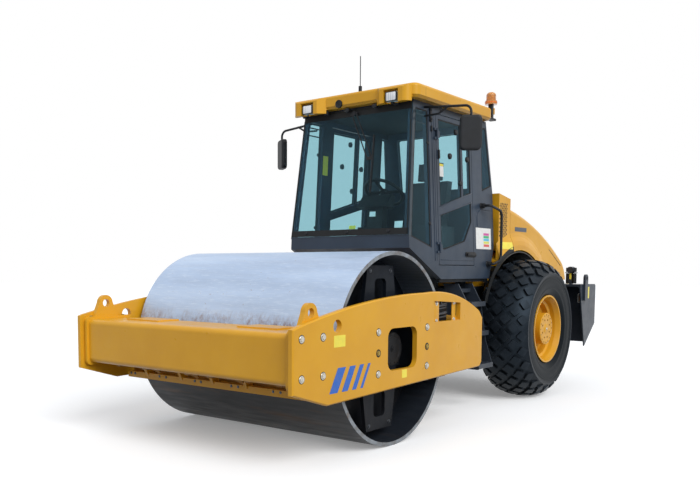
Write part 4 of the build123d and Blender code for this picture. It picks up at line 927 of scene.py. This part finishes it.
def side_strip(x0, z0, x1, z1, width, out, thick):
    """Straight strip that lies on the leaning side."""
    return side_piece(strip(x0, z0, x1, z1, width), out, thick, 0, 1.0)


def screen_x(z):
    (x0, z0), (x1, z1) = SCREEN_LOW, SCREEN_TOP
    return x0 + (x1 - x0) * (z - z0) / (z1 - z0)


def screen_piece(outline, out, thick, corner=0.0):
    """Plate on the leaning windscreen, from (y, z) corners."""
    return plate([at(screen_x(z) + out, y, z) for y, z in outline], SCREEN_OUT * thick, corner)


GLASS_SEALS = (  # outline, out, thick, corner, edge, width
    (CORNER_PANE, -8, 6.5, 18, 0, 13),
    (QUARTER_PANE, -8, 6.5, 22, 0, 15),
)
DOOR_GAP = (-411, 1412, -411, 2776, 12, -14, 12)
BAND_Z = (1668, 1726, 2772, 2832)               # low band from, to; top band from, to
BAND_SIDE, BAND_END_Z = 12, 2826
REAR_FRAME = (-452, 2193, 452, 2782)            # y, z low; y, z high
CORNER_PANE_Z = (1650, 2220, 2790)
HEADLINING = (("cab_headlining", "headlining", "rear_unit", None, ((-690, -585, 2836), (655, 585, 2851), 4)),)
HEADER_BUFFER_Y = (-560, -300, -60, 250, 470)


def make_cab_seals():
    seals = [side_piece(pane, -9, 6, 14, 0, 13) for pane in DOOR_PANES]
    settle(seals, "door_seals_left", "black_rubber", **DOORS)
    fixed = [side_piece(*row) for row in GLASS_SEALS] + [side_strip(*DOOR_GAP)]
    settle(fixed, "cab_glass_seals", "black_rubber", twin="same")

    low, top = (side_y(z) - 7 for z in (SCREEN_LOW[1], SCREEN_TOP[1]))
    z0, z1, z2, z3 = BAND_Z
    bands = [([(-low, z0), (low, z0), (low - 2, z1), (2 - low, z1)], 1.2), (rect(-top, z2, top, z3), 4)]
    edge = ((low, z0), (low - BAND_SIDE, z0), (top - BAND_SIDE, BAND_END_Z), (top, BAND_END_Z))
    bands += [([(side * y, z) for y, z in edge], 1.2) for side in (-1, 1)]
    parts = [screen_piece(outline, 0.4, thick) for outline, thick in bands]
    (bx0, bz0), (bx1, bz1) = BACK_LOW, BACK_TOP
    slope = (bx1 - bx0) / (bz1 - bz0)
    rear = [at(bx0 + slope * (z - bz0) - 1, y, z) for y, z in rect(*REAR_FRAME)]
    parts.append(plate(rear, (-7, 0, 0), 40, 2, 18))
    settle(parts, "screen_bands", "black_rubber")
    outline = [(screen_x(z) - 5, z) for z in CORNER_PANE_Z]
    outline += [(screen_x(z) - 42, z) for z in reversed(CORNER_PANE_Z)]
    settle(side_piece(outline, 0.4, 2.0), "corner_panes", "dark_pane", twin="same")
    block_pieces(HEADLINING)
    buffers = [((704, y - 26, 2808), (742, y + 26, 2846), 10) for y in HEADER_BUFFER_Y]
    blocks(buffers, "header_buffers", "black_plastic")


PANE_KNOBS = ((-99.0, 2665.0), (-314.0, 2430.0), (-163.0, 2187.0), (30.0, 2425.0))
PANE_KNOB = ((0, 15), (18, 15), (25, 10), (28, 3), (28, -8), (0, -8))
DOOR_HANDLES = (  # outline, out, thick, corner, edge
    (rect(256, 2378, 232, 2462), -2, 15, 9, 3),
    (rect(-446, 1480, -226, 1532), 0.3, 5, 24, 2),
    (((-432, 1492), (-242, 1492), (-252, 1520), (-420, 1520)), 5, 17, 9, 4),
)
SIDE_LABELS = (  # piece, finish, body, corners, out, thick, rounding
    ("door_label_white", "label_white", "door_left", (141, 2222, 233, 2318), -11.2, 0.8, 3),
    ("door_label_yellow", "label_yellow", "door_left", (141, 2319, 233, 2340), -11.2, 0.8, 3),
    ("white_plate", "label_white", "rear_unit", (-462, 1566, -790, 1778), 0.3, 1.0, 4),
    ("label_magenta_bar", "label_magenta", "rear_unit", (-624, 1704, -744, 1728), 1.4, 0.5, 2),
    ("label_green_bar", "label_green", "rear_unit", (-624, 1677, -744, 1701), 1.4, 0.5, 2),
    ("label_cyan_bar", "label_cyan", "rear_unit", (-624, 1649, -744, 1673), 1.4, 0.5, 2),
    ("label_lime_bar", "label_lime", "rear_unit", (-624, 1621, -744, 1645), 1.4, 0.5, 2),
    ("label_red_bar", "label_red", "rear_unit", (-624, 1591, -744, 1615), 1.4, 0.5, 2),
)
CAB_PADS = (  # corners, out, thick, rounding, edge
    ((362, 2696, 396, 2822), 0.3, 15, 5, 2),
    ((352, 2612, 374, 2664), 0.3, 10, 8, 2),
    ((-652, 1986, -578, 2014), 0.3, 14, 13, 3),
)
PAD_CAP = ((0, 7), (9, 7), (11, 4), (11, 0))
FRAME_STUD = ((0, 9), (13, 9), (17, 4), (17, -4), (0, -4))
CAB_KNOBS = (  # x, z, out, profile, steps
    (379, 2718, 15, PAD_CAP, 12), (379, 2802, 15, PAD_CAP, 12),
    (438, 1778, 0, FRAME_STUD, 16), (438, 2500, 0, FRAME_STUD, 16),
)
CAB_RAILS = ((640, 2742), (648, 2668))     # front end x, z
SILL_FOOT = (("sill_foot", "yellow_paint", "rear_unit", "same", ((-800, 560, 1246), (-420, 652, 1296), 8)),)
PILLAR_LABEL = (340, 2300, 420, 2490)        # x, z low; x, z high
PILLAR_LABEL_Y = -586
SILL_PRESSING = (-430, 1384, -840, 1394)
CAB_RIBS = (  # x, z from; x, z to; width, out, thick
    (410, 1560, 410, 2790, 16, -0.5, 5),
    (352, 1440, 352, 2790, 10, -0.5, 4),
    (318, 1440, 318, 2790, 8, -0.5, 3),
)
CAB_ARCH = ((-498, 1790), (-498, 1905), (-566, 1966), (-800, 1966))
DOOR_RIBS = (
    (258, 1938, -390, 2108, 8, -0.3, 3.5),
    (258, 1862, -390, 2018, 8, -0.3, 3.5),
    (252, 1450, -396, 1450, 8, -0.3, 3.5),
)
SCREEN_LABELS = (  # piece, finish, corners of each
    ("screen_labels_white", "label_white", ((512, 1722, 596, 1786), (236, 1836, 300, 1880))),
    ("screen_label_yellow", "label_yellow", ((16, 1728, 90, 1760),)),
)
SCREEN_STUD = ((0, 8), (13, 8), (17, 4), (17, 0))
STUD_Y, STUD_Z = (-483, 0, 456), 1702


def make_cab_hardware():
    knobs = [lathe(PANE_KNOB, cab_side(x, z), SIDE_OUT, 24) for x, z in PANE_KNOBS]
    knobs += [side_piece(*row) for row in DOOR_HANDLES]
    settle(knobs, "door_fittings_left", "black_plastic", **DOORS)
    for name, finish, body, corners, out, thick, rounding in SIDE_LABELS:
        settle(side_piece(rect(*corners), out, thick, rounding), name, finish, body)
    brackets = [side_piece(rect(*corners), *row) for corners, *row in CAB_PADS]
    brackets += [lathe(profile, cab_side(x, z, out), SIDE_OUT, steps) for x, z, out, profile, steps in CAB_KNOBS]
    brackets += [pipe([cab_side(452, z, -16), cab_side(x, z, -16)], 6) for x, z in CAB_RAILS]
    settle(brackets, "cab_fittings", "black_plastic", twin="same")
    ribs = [side_strip(*row) for row in CAB_RIBS] + [pipe([cab_side(x, z) for x, z in CAB_ARCH], 7, 60)]
    ribs.append(side_piece(rect(*SILL_PRESSING), -0.5, 2.5, 3))
    settle(ribs, "cab_pressings", "cab_paint", twin="same")
    settle([side_strip(*row) for row in DOOR_RIBS], "door_pressings_left", "cab_paint", **DOORS)

    block_pieces(SILL_FOOT)
    foot = PILLAR_LABEL[1]
    label = [at(x, PILLAR_LABEL_Y + (z - foot) * math.tan(CAB_LEAN), z) for x, z in rect(*PILLAR_LABEL)]
    settle(plate(label, LEFT, 3), "pillar_label", "label_yellow")
    for name, finish, spots in SCREEN_LABELS:
        settle([screen_piece(rect(*spot), -9.5, 0.6, 3) for spot in spots], name, finish)
    studs = [lathe(SCREEN_STUD, at(screen_x(STUD_Z) + 1.6, y, STUD_Z), SCREEN_OUT, 16) for y in STUD_Y]
    settle(studs, "screen_studs", "black_plastic")


RAIL_FEET = ((-590, 2000), (-690, 1418))
FOOT_PLATE = ((0, 10), (26, 10), (30, 6), (30, 0))
FOOT_COLLAR = ((14, 44), (23, 44), (25, 40), (25, 10), (14, 10))


def make_grab_rail_clamps():
    clamps = []
    for x, z in RAIL_FEET:
        y = side_y(z)
        clamps.append(lathe(FOOT_PLATE, cab_side(x, z), SIDE_OUT, 20))
        clamps.append(lathe(FOOT_COLLAR, cab_side(x, z), LEFT, 20, closed=True))
        for lug in (x - 20, x + 20):
            clamps.append(box_piece((lug - 6, y + 2, z - 9), (lug + 6, y + 20, z + 9), 2))
    settle(clamps, "grab_rail_clamps", "black_plastic", twin="same")


# ---------------------------------------------------------------- roof, lamps and mirrors
LAMP_Y = 471.0
LAMP_Z = 2870.0
LAMP_FACE_X = 808.0
LAMP_YOKE = (  # low corner, high corner, edge; y and z from the lamp's middle
    ((762, -12, -62), (792, 12, -40), 3), ((766, -66, -8), (786, -58, 8), 2), ((766, 58, -8), (786, 66, 8), 2),
)
HORN = ((0, 4), (6, 6), (9, 4), (14, 3), (22, 8), (30, 9), (34, 14), (37, 12), (37, -2), (0, -2))
HORN_PLACE = (757, -131, 2887)
DOME = ((0, 6), (8, 6), (12, 0))
DOME_X, DOME_Y, ROOF_Z = (-600, 0, 560), (-560, 560), 2978
REAR_LAMP = (-771, (370, 2872, 470, 2938), -3, 9, 1)     # x, corners, push, rounding, edge
ROOF_BLOCKS = (  # piece, finish, body, twin, then low corner, high corner, edge and steps of each block
    ("lamp_brackets", "yellow_paint", "rear_unit", "same", ((772, 445, 2810), (800, 459, 2824), 2)),
    ("roof_seams", "black_rubber", "rear_unit", "same", ((598, 699.2, 2880), (600, 700.4, 2955), 0.2, 1)),
    ("roof_vent", "yellow_paint", "rear_unit", None, ((-240, -230, 2976), (260, 230, 2990), 8)),
    ("beacon_box", "yellow_paint", "rear_unit", None, ((-826, 632, 2936), (-792, 668, 3000), 4)),
)
BEACON_FOOT = ((59, 12), (62, 12), (62, 24), (59, 24))


def facing(x, corners, push, *sizes):
    """Plate square to the machine's length, from two (y, z) corners."""
    return plate([at(x, y, z) for y, z in rect(*corners)], (push, 0, 0), *sizes)


def make_roof_fittings():
    lens = facing(LAMP_FACE_X, (LAMP_Y - 50, LAMP_Z - 34, LAMP_Y + 50, LAMP_Z + 36), 3, 9, 1)
    settle(lens, "lamp_lenses", "lamp_lens", twin="same")
    housing = [facing(LAMP_FACE_X - 3, (LAMP_Y - 58, LAMP_Z - 43, LAMP_Y + 58, LAMP_Z + 43), 6, 12, 1.5, 9)]
    for (x0, y0, z0), (x1, y1, z1), edge in LAMP_YOKE:
        housing.append(box_piece((x0, LAMP_Y + y0, LAMP_Z + z0), (x1, LAMP_Y + y1, LAMP_Z + z1), edge))
    settle(housing, "lamp_housings", "black_plastic", twin="same")
    settle(facing(*REAR_LAMP), "rear_lamp_lenses", "lamp_lens", twin="same")
    settle(lathe(HORN, at(*HORN_PLACE), AHEAD, 32), "horn", "black_plastic")
    domes = [lathe(DOME, at(x, y, ROOF_Z), UP, 12) for x in DOME_X for y in DOME_Y]
    # painted shade: the roof bolts take the darker yellow
    settle(domes, "roof_bolts", "yellow_dark")
    block_pieces(ROOF_BLOCKS)

    low, high = BOX("beacon")
    foot = Vector(((low.x + high.x) / 2, (low.y + high.y) / 2, low.z))
    ribs = [lathe([(46, z - 3), (49.4, z), (46, z + 3)], foot, UP, 40) for z in range(44, 96, 8)]
    settle(ribs, "beacon_ribs", "amber_plastic")
    settle(lathe(BEACON_FOOT, foot, UP, 40, closed=True), "beacon_ring", "beacon_orange")


MIRROR_MIDDLE = at(474.0, 1078.0, 2540.0)
MIRROR_TOE = 34.0
MIRROR_TURN = Matrix.Rotation(math.radians(MIRROR_TOE), 3, "Z")
MIRROR_ARM = ((474, 778, 2802), (474, 778, 2742))


def mirror_piece(x, half_y, half_z, push, *sizes):
    """Upright plate on the turned mirror head."""
    points = [MIRROR_MIDDLE + MIRROR_TURN @ at(x, y, z) for y, z in rect(-half_y, -half_z, half_y, half_z)]
    return plate(points, MIRROR_TURN @ Vector((push, 0, 0)), *sizes)


def make_mirror_faces():
    settle(mirror_piece(-26.5, 80, 132, -1.5, 34), "mirror_faces", "mirror_glass", twin="same")
    rims = [mirror_piece(-25, 92, 146, -5, 38, 1.5, 11), pipe([at(*end) for end in MIRROR_ARM], 7)]
    settle(rims, "mirror_rims", "black_plastic", twin="same")


# ---------------------------------------------------------------- hood, intake and counterweight
HOOD_Y = 700.0
HOLE_X = (-1092.0, -930.0)
HOLE_Z = (1690.0, 2062.0)
HOLE_STEP = (36.0, 22.0)
INTAKE_LABEL = ((-1164, 1574), (-926, 1648))
HOOD_BAR = (-1600, 1772, -1300, 1818)        # x, z low; x, z high
GROOVE = (-2249, 1597, -2623, 1406, 8)       # x, z from; x, z to; width
HOOD_BLOCKS = (  # as on the roof
    ("hood_latches", "black_plastic", "hood", "same",
     ((-2560, 698, 1290), (-2470, 716, 1330), 6), ((-2540, 714, 1300), (-2490, 722, 1320), 4)),
)
ARCHES = (  # piece, finish, y, thickness, then two edges of radius and turns in degrees
    ("arch_liners", "wet_liner", 440.0, 296.0, (822.0, range(48, 137, 4)), (812.0, range(136, 47, -4))),
    ("arch_edge_covers", "black_rubber", 745.3, 1.2, (889.5, range(20, 79, 2)), (835.5, range(78, 19, -2))),
)


def on_hood(outline, out, thick, corner=0.0):
    """Plate on the flat flank, from (x, z) corners."""
    return plate([at(x, HOOD_Y + out, z) for x, z in outline], (0, thick, 0), corner)


def make_hood_fittings(sizes):
    places = []
    row, z = 0, HOLE_Z[0]
    while z <= HOLE_Z[1]:
        x = HOLE_X[0] + (HOLE_STEP[0] / 2 if row % 2 else 0)
        while x <= HOLE_X[1]:
            places.append((at(x, HOOD_Y + 0.1, z), LEFT, 1.0))
            x += HOLE_STEP[0]
        z += HOLE_STEP[1]
        row += 1
    radius = sizes.intake_hole / MM / 2
    # painted shade: flat dark discs on the solid flank stand for the holes and the shade behind them
    hole = lathe([(0, 0.4), (radius - 0.2, 0.4), (radius, 0)], (0, 0, 0), UP, 12)
    settle(scatter(hole, places), "intake_holes", "black_rubber", twin="same", slot="black_metal")
    settle(clinging_sheet("intake_housing", *INTAKE_LABEL), "intake_label", "label_yellow", twin="same")

    settle(on_hood(rect(*HOOD_BAR), 0.2, 1, 3), "hood_bar", "label_grey", "hood", "same")
    # painted shade: a thin dark strip on the flank stands for the shade in the groove
    settle(on_hood(strip(*GROOVE), -0.2, 0.7), "hood_groove", "black_rubber", "hood", "same")
    block_pieces(HOOD_BLOCKS)


def make_arch_liners():
    for name, finish, y, thick, *edges in ARCHES:
        arc = []
        for radius, turns in edges:
            for turn in turns:
                angle = math.radians(turn)
                arc.append(off_axis(WHEEL_AXIS, radius * math.cos(angle), y, radius * math.sin(angle)))
        settle(plate(arc, (0, thick, 0)), name, finish, twin="same")


TAIL_LABEL, TAIL_LABEL_Y = (-2722, 1022, -2640, 1158), 1020.3
POST_LABEL = (-2489.6, (863, 1250, 887, 1318), 1, 2)         # x, corners, push, rounding
CATCH_FRAME = (-2668, (905, 968, 950, 1078), 6, 12, 1, 9)    # and edge, width
TAIL_BLOCKS = (("tail_catch", "zinc_rusty", "rear_unit", "same", ((-2668, 916, 990), (-2658, 940, 1056), 4)),)
TAIL_BOLT_X, TAIL_BOLT_Y, TAIL_BOLT_Z = (-2860, -2700), (-700, -350, 350, 700), 1190
BUFFER_X, BUFFER_Y, BUFFER_DISC_Z = -2515, (838, 912), 1326
BUFFER_FOOT_Z = 1200
BUFFERS = ((1200, 1318), (1334, 1386))     # z from, z to
BUFFER_DISC = ((0, 4), (34, 4), (36, 0), (36, -6), (0, -6))


def make_counterweight_fittings():
    labels = [plate([at(x, TAIL_LABEL_Y, z) for x, z in rect(*TAIL_LABEL)], LEFT, 3), facing(*POST_LABEL)]
    settle(labels, "blank_labels_tail", "label_yellow", twin="same")
    buffers = []
    for y in BUFFER_Y:
        for low, high in BUFFERS:
            top, foot = high - BUFFER_FOOT_Z, low - BUFFER_FOOT_Z
            section = ((0, top), (22, top), (26, top - 6), (26, foot + 6), (22, foot), (0, foot))
            buffers.append(lathe(section, at(BUFFER_X, y, BUFFER_FOOT_Z), UP, 20))
        buffers.append(lathe(BUFFER_DISC, at(BUFFER_X, y, BUFFER_DISC_Z), UP, 20))
    settle(buffers, "tail_buffers", "black_rubber", twin="same")
    settle(facing(*CATCH_FRAME), "tail_catch_frame", "label_white", twin="same")
    block_pieces(TAIL_BLOCKS)
    places = [(at(x, y, TAIL_BOLT_Z), UP, 34.0) for x in TAIL_BOLT_X for y in TAIL_BOLT_Y]
    bolts(places, "tail_bolts", "zinc_yellow")


# ---------------------------------------------------------------- stage
CAMERA_PLACE = (6.7188, 4.3283, 1.3634)
CAMERA_YAW = -2.4597
CAMERA_PITCH = -0.0814
CAMERA_ROLL = 0.0034
CAMERA_LENS, CAMERA_SENSOR = 40.382, 36.0
CAMERA_SHIFT = (0.062, 0.1153)
CAMERA_REACH = 300
FLOOR_SIZE = 120
FLOOR_TONE = "#F4F4F4"
FLOOR_BOUNCE = "#7C7C7A"
FLOOR_LIFT = 0.22
WORLD_TONE = "#EEF2F8"
WORLD_FILL = 0.62
WHITE = (1, 1, 1, 1)
LIGHTS = (  # name, direction the light comes from, spread in degrees, power
    ("key", (0.30, 0.80, 0.60), 40.0, 2.25),
    ("front_fill", (0.75, -0.15, 0.65), 60.0, 0.25),
)


def seen_ray(mat):
    """1 for the rays by which a picture, a mirror or a pane shows the backdrop, else 0."""
    path = add_node(mat, "ShaderNodeLightPath")
    seen = path.outputs["Is Camera Ray"]
    for ray in ("Is Glossy Ray", "Is Transmission Ray"):
        seen = add_node(mat, "ShaderNodeMath", {0: seen, 1: path.outputs[ray]}, operation="MAXIMUM").outputs[0]
    return seen


def build_stage():
    scene = bpy.context.scene
    deselect()
    bpy.ops.mesh.primitive_plane_add(size=FLOOR_SIZE)
    floor = bpy.context.object
    floor.name = "floor"
    mat = blank_material("plain_pale_floor")
    seen = seen_ray(mat)
    pale = add_node(mat, "ShaderNodeBsdfDiffuse", {"Color": mix(mat, seen, FLOOR_BOUNCE, FLOOR_TONE)})
    lift = add_node(mat, "ShaderNodeEmission", None, {"Color": WHITE, "Strength": FLOOR_LIFT})
    both = add_node(mat, "ShaderNodeAddShader", {0: pale.outputs[0], 1: lift.outputs[0]})
    only = add_node(mat, "ShaderNodeMixShader", {0: seen, 1: pale.outputs[0], 2: both.outputs[0]})
    add_node(mat, "ShaderNodeOutputMaterial", {"Surface": only.outputs[0]})
    floor.data.materials.append(mat)

    for name, towards, spread, power in LIGHTS:
        lamp = bpy.data.lights.new(name, "SUN")
        lamp.angle = math.radians(spread)
        lamp.energy = power
        obj = bpy.data.objects.new(name, lamp)
        scene.collection.objects.link(obj)
        obj.rotation_euler = Vector(towards).to_track_quat("Z", "Y").to_euler()

    world = bpy.data.worlds.new("studio")
    scene.world = world
    world.use_nodes = True
    world.node_tree.nodes.clear()
    fill = add_node(world, "ShaderNodeBackground", None, {"Color": linear(WORLD_TONE), "Strength": WORLD_FILL})
    backdrop = add_node(world, "ShaderNodeBackground", None, {"Color": WHITE, "Strength": 1.0})
    both = add_node(world, "ShaderNodeMixShader", {0: seen_ray(world), 1: fill.outputs[0], 2: backdrop.outputs[0]})
    add_node(world, "ShaderNodeOutputWorld", {"Surface": both.outputs[0]})

    lens = bpy.data.cameras.new("camera")
    camera = bpy.data.objects.new("camera", lens)
    scene.collection.objects.link(camera)
    scene.camera = camera
    lens.lens, lens.sensor_width = CAMERA_LENS, CAMERA_SENSOR
    lens.shift_x, lens.shift_y = CAMERA_SHIFT
    lens.clip_end = CAMERA_REACH
    camera.location = CAMERA_PLACE
    flat = math.cos(CAMERA_PITCH)
    aim = Vector((math.cos(CAMERA_YAW) * flat, math.sin(CAMERA_YAW) * flat, math.sin(CAMERA_PITCH)))
    turn = aim.to_track_quat("-Z", "Y").to_matrix() @ Matrix.Rotation(CAMERA_ROLL, 3, "Z")
    camera.rotation_euler = turn.to_euler()
    scene.view_settings.view_transform = "Standard"


# ---------------------------------------------------------------- add-on classes
def colour_setting(name, description, text):
    return bpy.props.FloatVectorProperty(name=name, description=description, default=linear(text)[:3],
                                         subtype="COLOR", size=3, min=0.0, max=1.0)


class RollerColours(bpy.types.PropertyGroup):
    yellow: colour_setting("Yellow", "Body yellow in full light", "#DEA424")
    yellow_deep: colour_setting("Deep yellow", "Darker patches of the yellow", "#D59A1E")
    slate: colour_setting("Slate", "Cab paint in full light", "#303D4D")
    slate_deep: colour_setting("Deep slate", "Darker patches of the cab paint", "#283341")


class RollerSizes(bpy.types.PropertyGroup):
    tread_depth: bpy.props.FloatProperty(name="Tread depth", description="Depth of the grooves in a tyre",
                                         default=0.028, unit="LENGTH")
    tread_count: bpy.props.IntProperty(name="Tread count", description="Rows of blocks round the tyre", default=25)
    plate_bolt: bpy.props.FloatProperty(name="Plate bolt", description="Width of the side plates' bolts",
                                        default=0.036, unit="LENGTH")
    intake_hole: bpy.props.FloatProperty(name="Intake hole", description="Width of the holes in the air intake",
                                         default=0.022, unit="LENGTH")


class ROLLER_OT_finishes(bpy.types.Operator):
    """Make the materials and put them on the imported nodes"""
    bl_idname = "roller.finishes"
    bl_label = "Finishes"

    def execute(self, context):
        make_materials(context.scene.roller_colours)
        dress_cad_nodes()
        return {"FINISHED"}


class ROLLER_OT_tyres(bpy.types.Operator):
    """Tyres with their block tread, which stand for the plain solids"""
    bl_idname = "roller.tyres"
    bl_label = "Tyres"

    def execute(self, context):
        make_tyres(context.scene.roller_sizes)
        return {"FINISHED"}


class ROLLER_OT_wheel_fittings(bpy.types.Operator):
    """Hub bolts, wheel nuts, hub caps and valve stems"""
    bl_idname = "roller.wheel_fittings"
    bl_label = "Wheel fittings"

    def execute(self, context):
        make_wheel_fittings()
        return {"FINISHED"}


class ROLLER_OT_side_plate_fittings(bpy.types.Operator):
    """Bolts, blank labels, stripes and hatch of the side plates"""
    bl_idname = "roller.side_plate_fittings"
    bl_label = "Side plate fittings"

    def execute(self, context):
        make_side_plate_fittings(context.scene.roller_sizes)
        return {"FINISHED"}


class ROLLER_OT_front_frame_fittings(bpy.types.Operator):
    """Bolts of the drum carriers, front beam and scrapers"""
    bl_idname = "roller.front_frame_fittings"
    bl_label = "Front frame fittings"

    def execute(self, context):
        make_front_frame_fittings()
        return {"FINISHED"}


class ROLLER_OT_cab_seals(bpy.types.Operator):
    """Seals and dark bands round the cab's glass, its headlining and buffers"""
    bl_idname = "roller.cab_seals"
    bl_label = "Cab seals"

    def execute(self, context):
        make_cab_seals()
        return {"FINISHED"}


class ROLLER_OT_cab_hardware(bpy.types.Operator):
    """Knobs, handles, brackets, pressings and blank labels of the cab"""
    bl_idname = "roller.cab_hardware"
    bl_label = "Cab hardware"

    def execute(self, context):
        make_cab_hardware()
        return {"FINISHED"}


class ROLLER_OT_grab_rail_clamps(bpy.types.Operator):
    """Clamps that hold the grab rails"""
    bl_idname = "roller.grab_rail_clamps"
    bl_label = "Grab rail clamps"

    def execute(self, context):
        make_grab_rail_clamps()
        return {"FINISHED"}


class ROLLER_OT_roof_fittings(bpy.types.Operator):
    """Lamp lenses and housings, horn, seams, roof vent and beacon ribs"""
    bl_idname = "roller.roof_fittings"
    bl_label = "Roof fittings"

    def execute(self, context):
        make_roof_fittings()
        return {"FINISHED"}


class ROLLER_OT_mirror_faces(bpy.types.Operator):
    """Silvered faces and rims of the mirrors"""
    bl_idname = "roller.mirror_faces"
    bl_label = "Mirror faces"

    def execute(self, context):
        make_mirror_faces()
        return {"FINISHED"}


class ROLLER_OT_hood_fittings(bpy.types.Operator):
    """Intake holes, blank labels, groove, latches and the liners of the wheel arches"""
    bl_idname = "roller.hood_fittings"
    bl_label = "Hood fittings"

    def execute(self, context):
        make_hood_fittings(context.scene.roller_sizes)
        make_arch_liners()
        return {"FINISHED"}


class ROLLER_OT_counterweight_fittings(bpy.types.Operator):
    """Buffers, labels, catches and bolts of the tail"""
    bl_idname = "roller.counterweight_fittings"
    bl_label = "Counterweight fittings"

    def execute(self, context):
        make_counterweight_fittings()
        return {"FINISHED"}


class ROLLER_OT_stage(bpy.types.Operator):
    """Lay the pale floor, hang the soft lights and set the camera"""
    bl_idname = "roller.stage"
    bl_label = "Stage"

    def execute(self, context):
        build_stage()
        return {"FINISHED"}


class ROLLER_PT_panel(bpy.types.Panel):
    bl_label = "Road roller"
    bl_idname = "ROLLER_PT_panel"
    bl_space_type = "VIEW_3D"
    bl_region_type = "UI"
    bl_category = "Road roller"

    def draw(self, context):
        for operator in OPERATORS:
            self.layout.operator(operator.bl_idname)


OPERATORS = (
    ROLLER_OT_finishes, ROLLER_OT_tyres, ROLLER_OT_wheel_fittings, ROLLER_OT_side_plate_fittings,
    ROLLER_OT_front_frame_fittings, ROLLER_OT_cab_seals, ROLLER_OT_cab_hardware, ROLLER_OT_grab_rail_clamps,
    ROLLER_OT_roof_fittings, ROLLER_OT_mirror_faces, ROLLER_OT_hood_fittings,
    ROLLER_OT_counterweight_fittings, ROLLER_OT_stage,
)
CLASSES = (RollerColours, RollerSizes, *OPERATORS, ROLLER_PT_panel)


def register():
    for item in CLASSES:
        bpy.utils.register_class(item)
    bpy.types.Scene.roller_colours = bpy.props.PointerProperty(type=RollerColours)
    bpy.types.Scene.roller_sizes = bpy.props.PointerProperty(type=RollerSizes)


def unregister():
    del bpy.types.Scene.roller_sizes
    del bpy.types.Scene.roller_colours
    for item in reversed(CLASSES):
        bpy.utils.unregister_class(item)


def main():
    register()
    for operator in OPERATORS:
        group, call = operator.bl_idname.split(".")
        getattr(getattr(bpy.ops, group), call)()


if __name__ == "__main__":
    main()
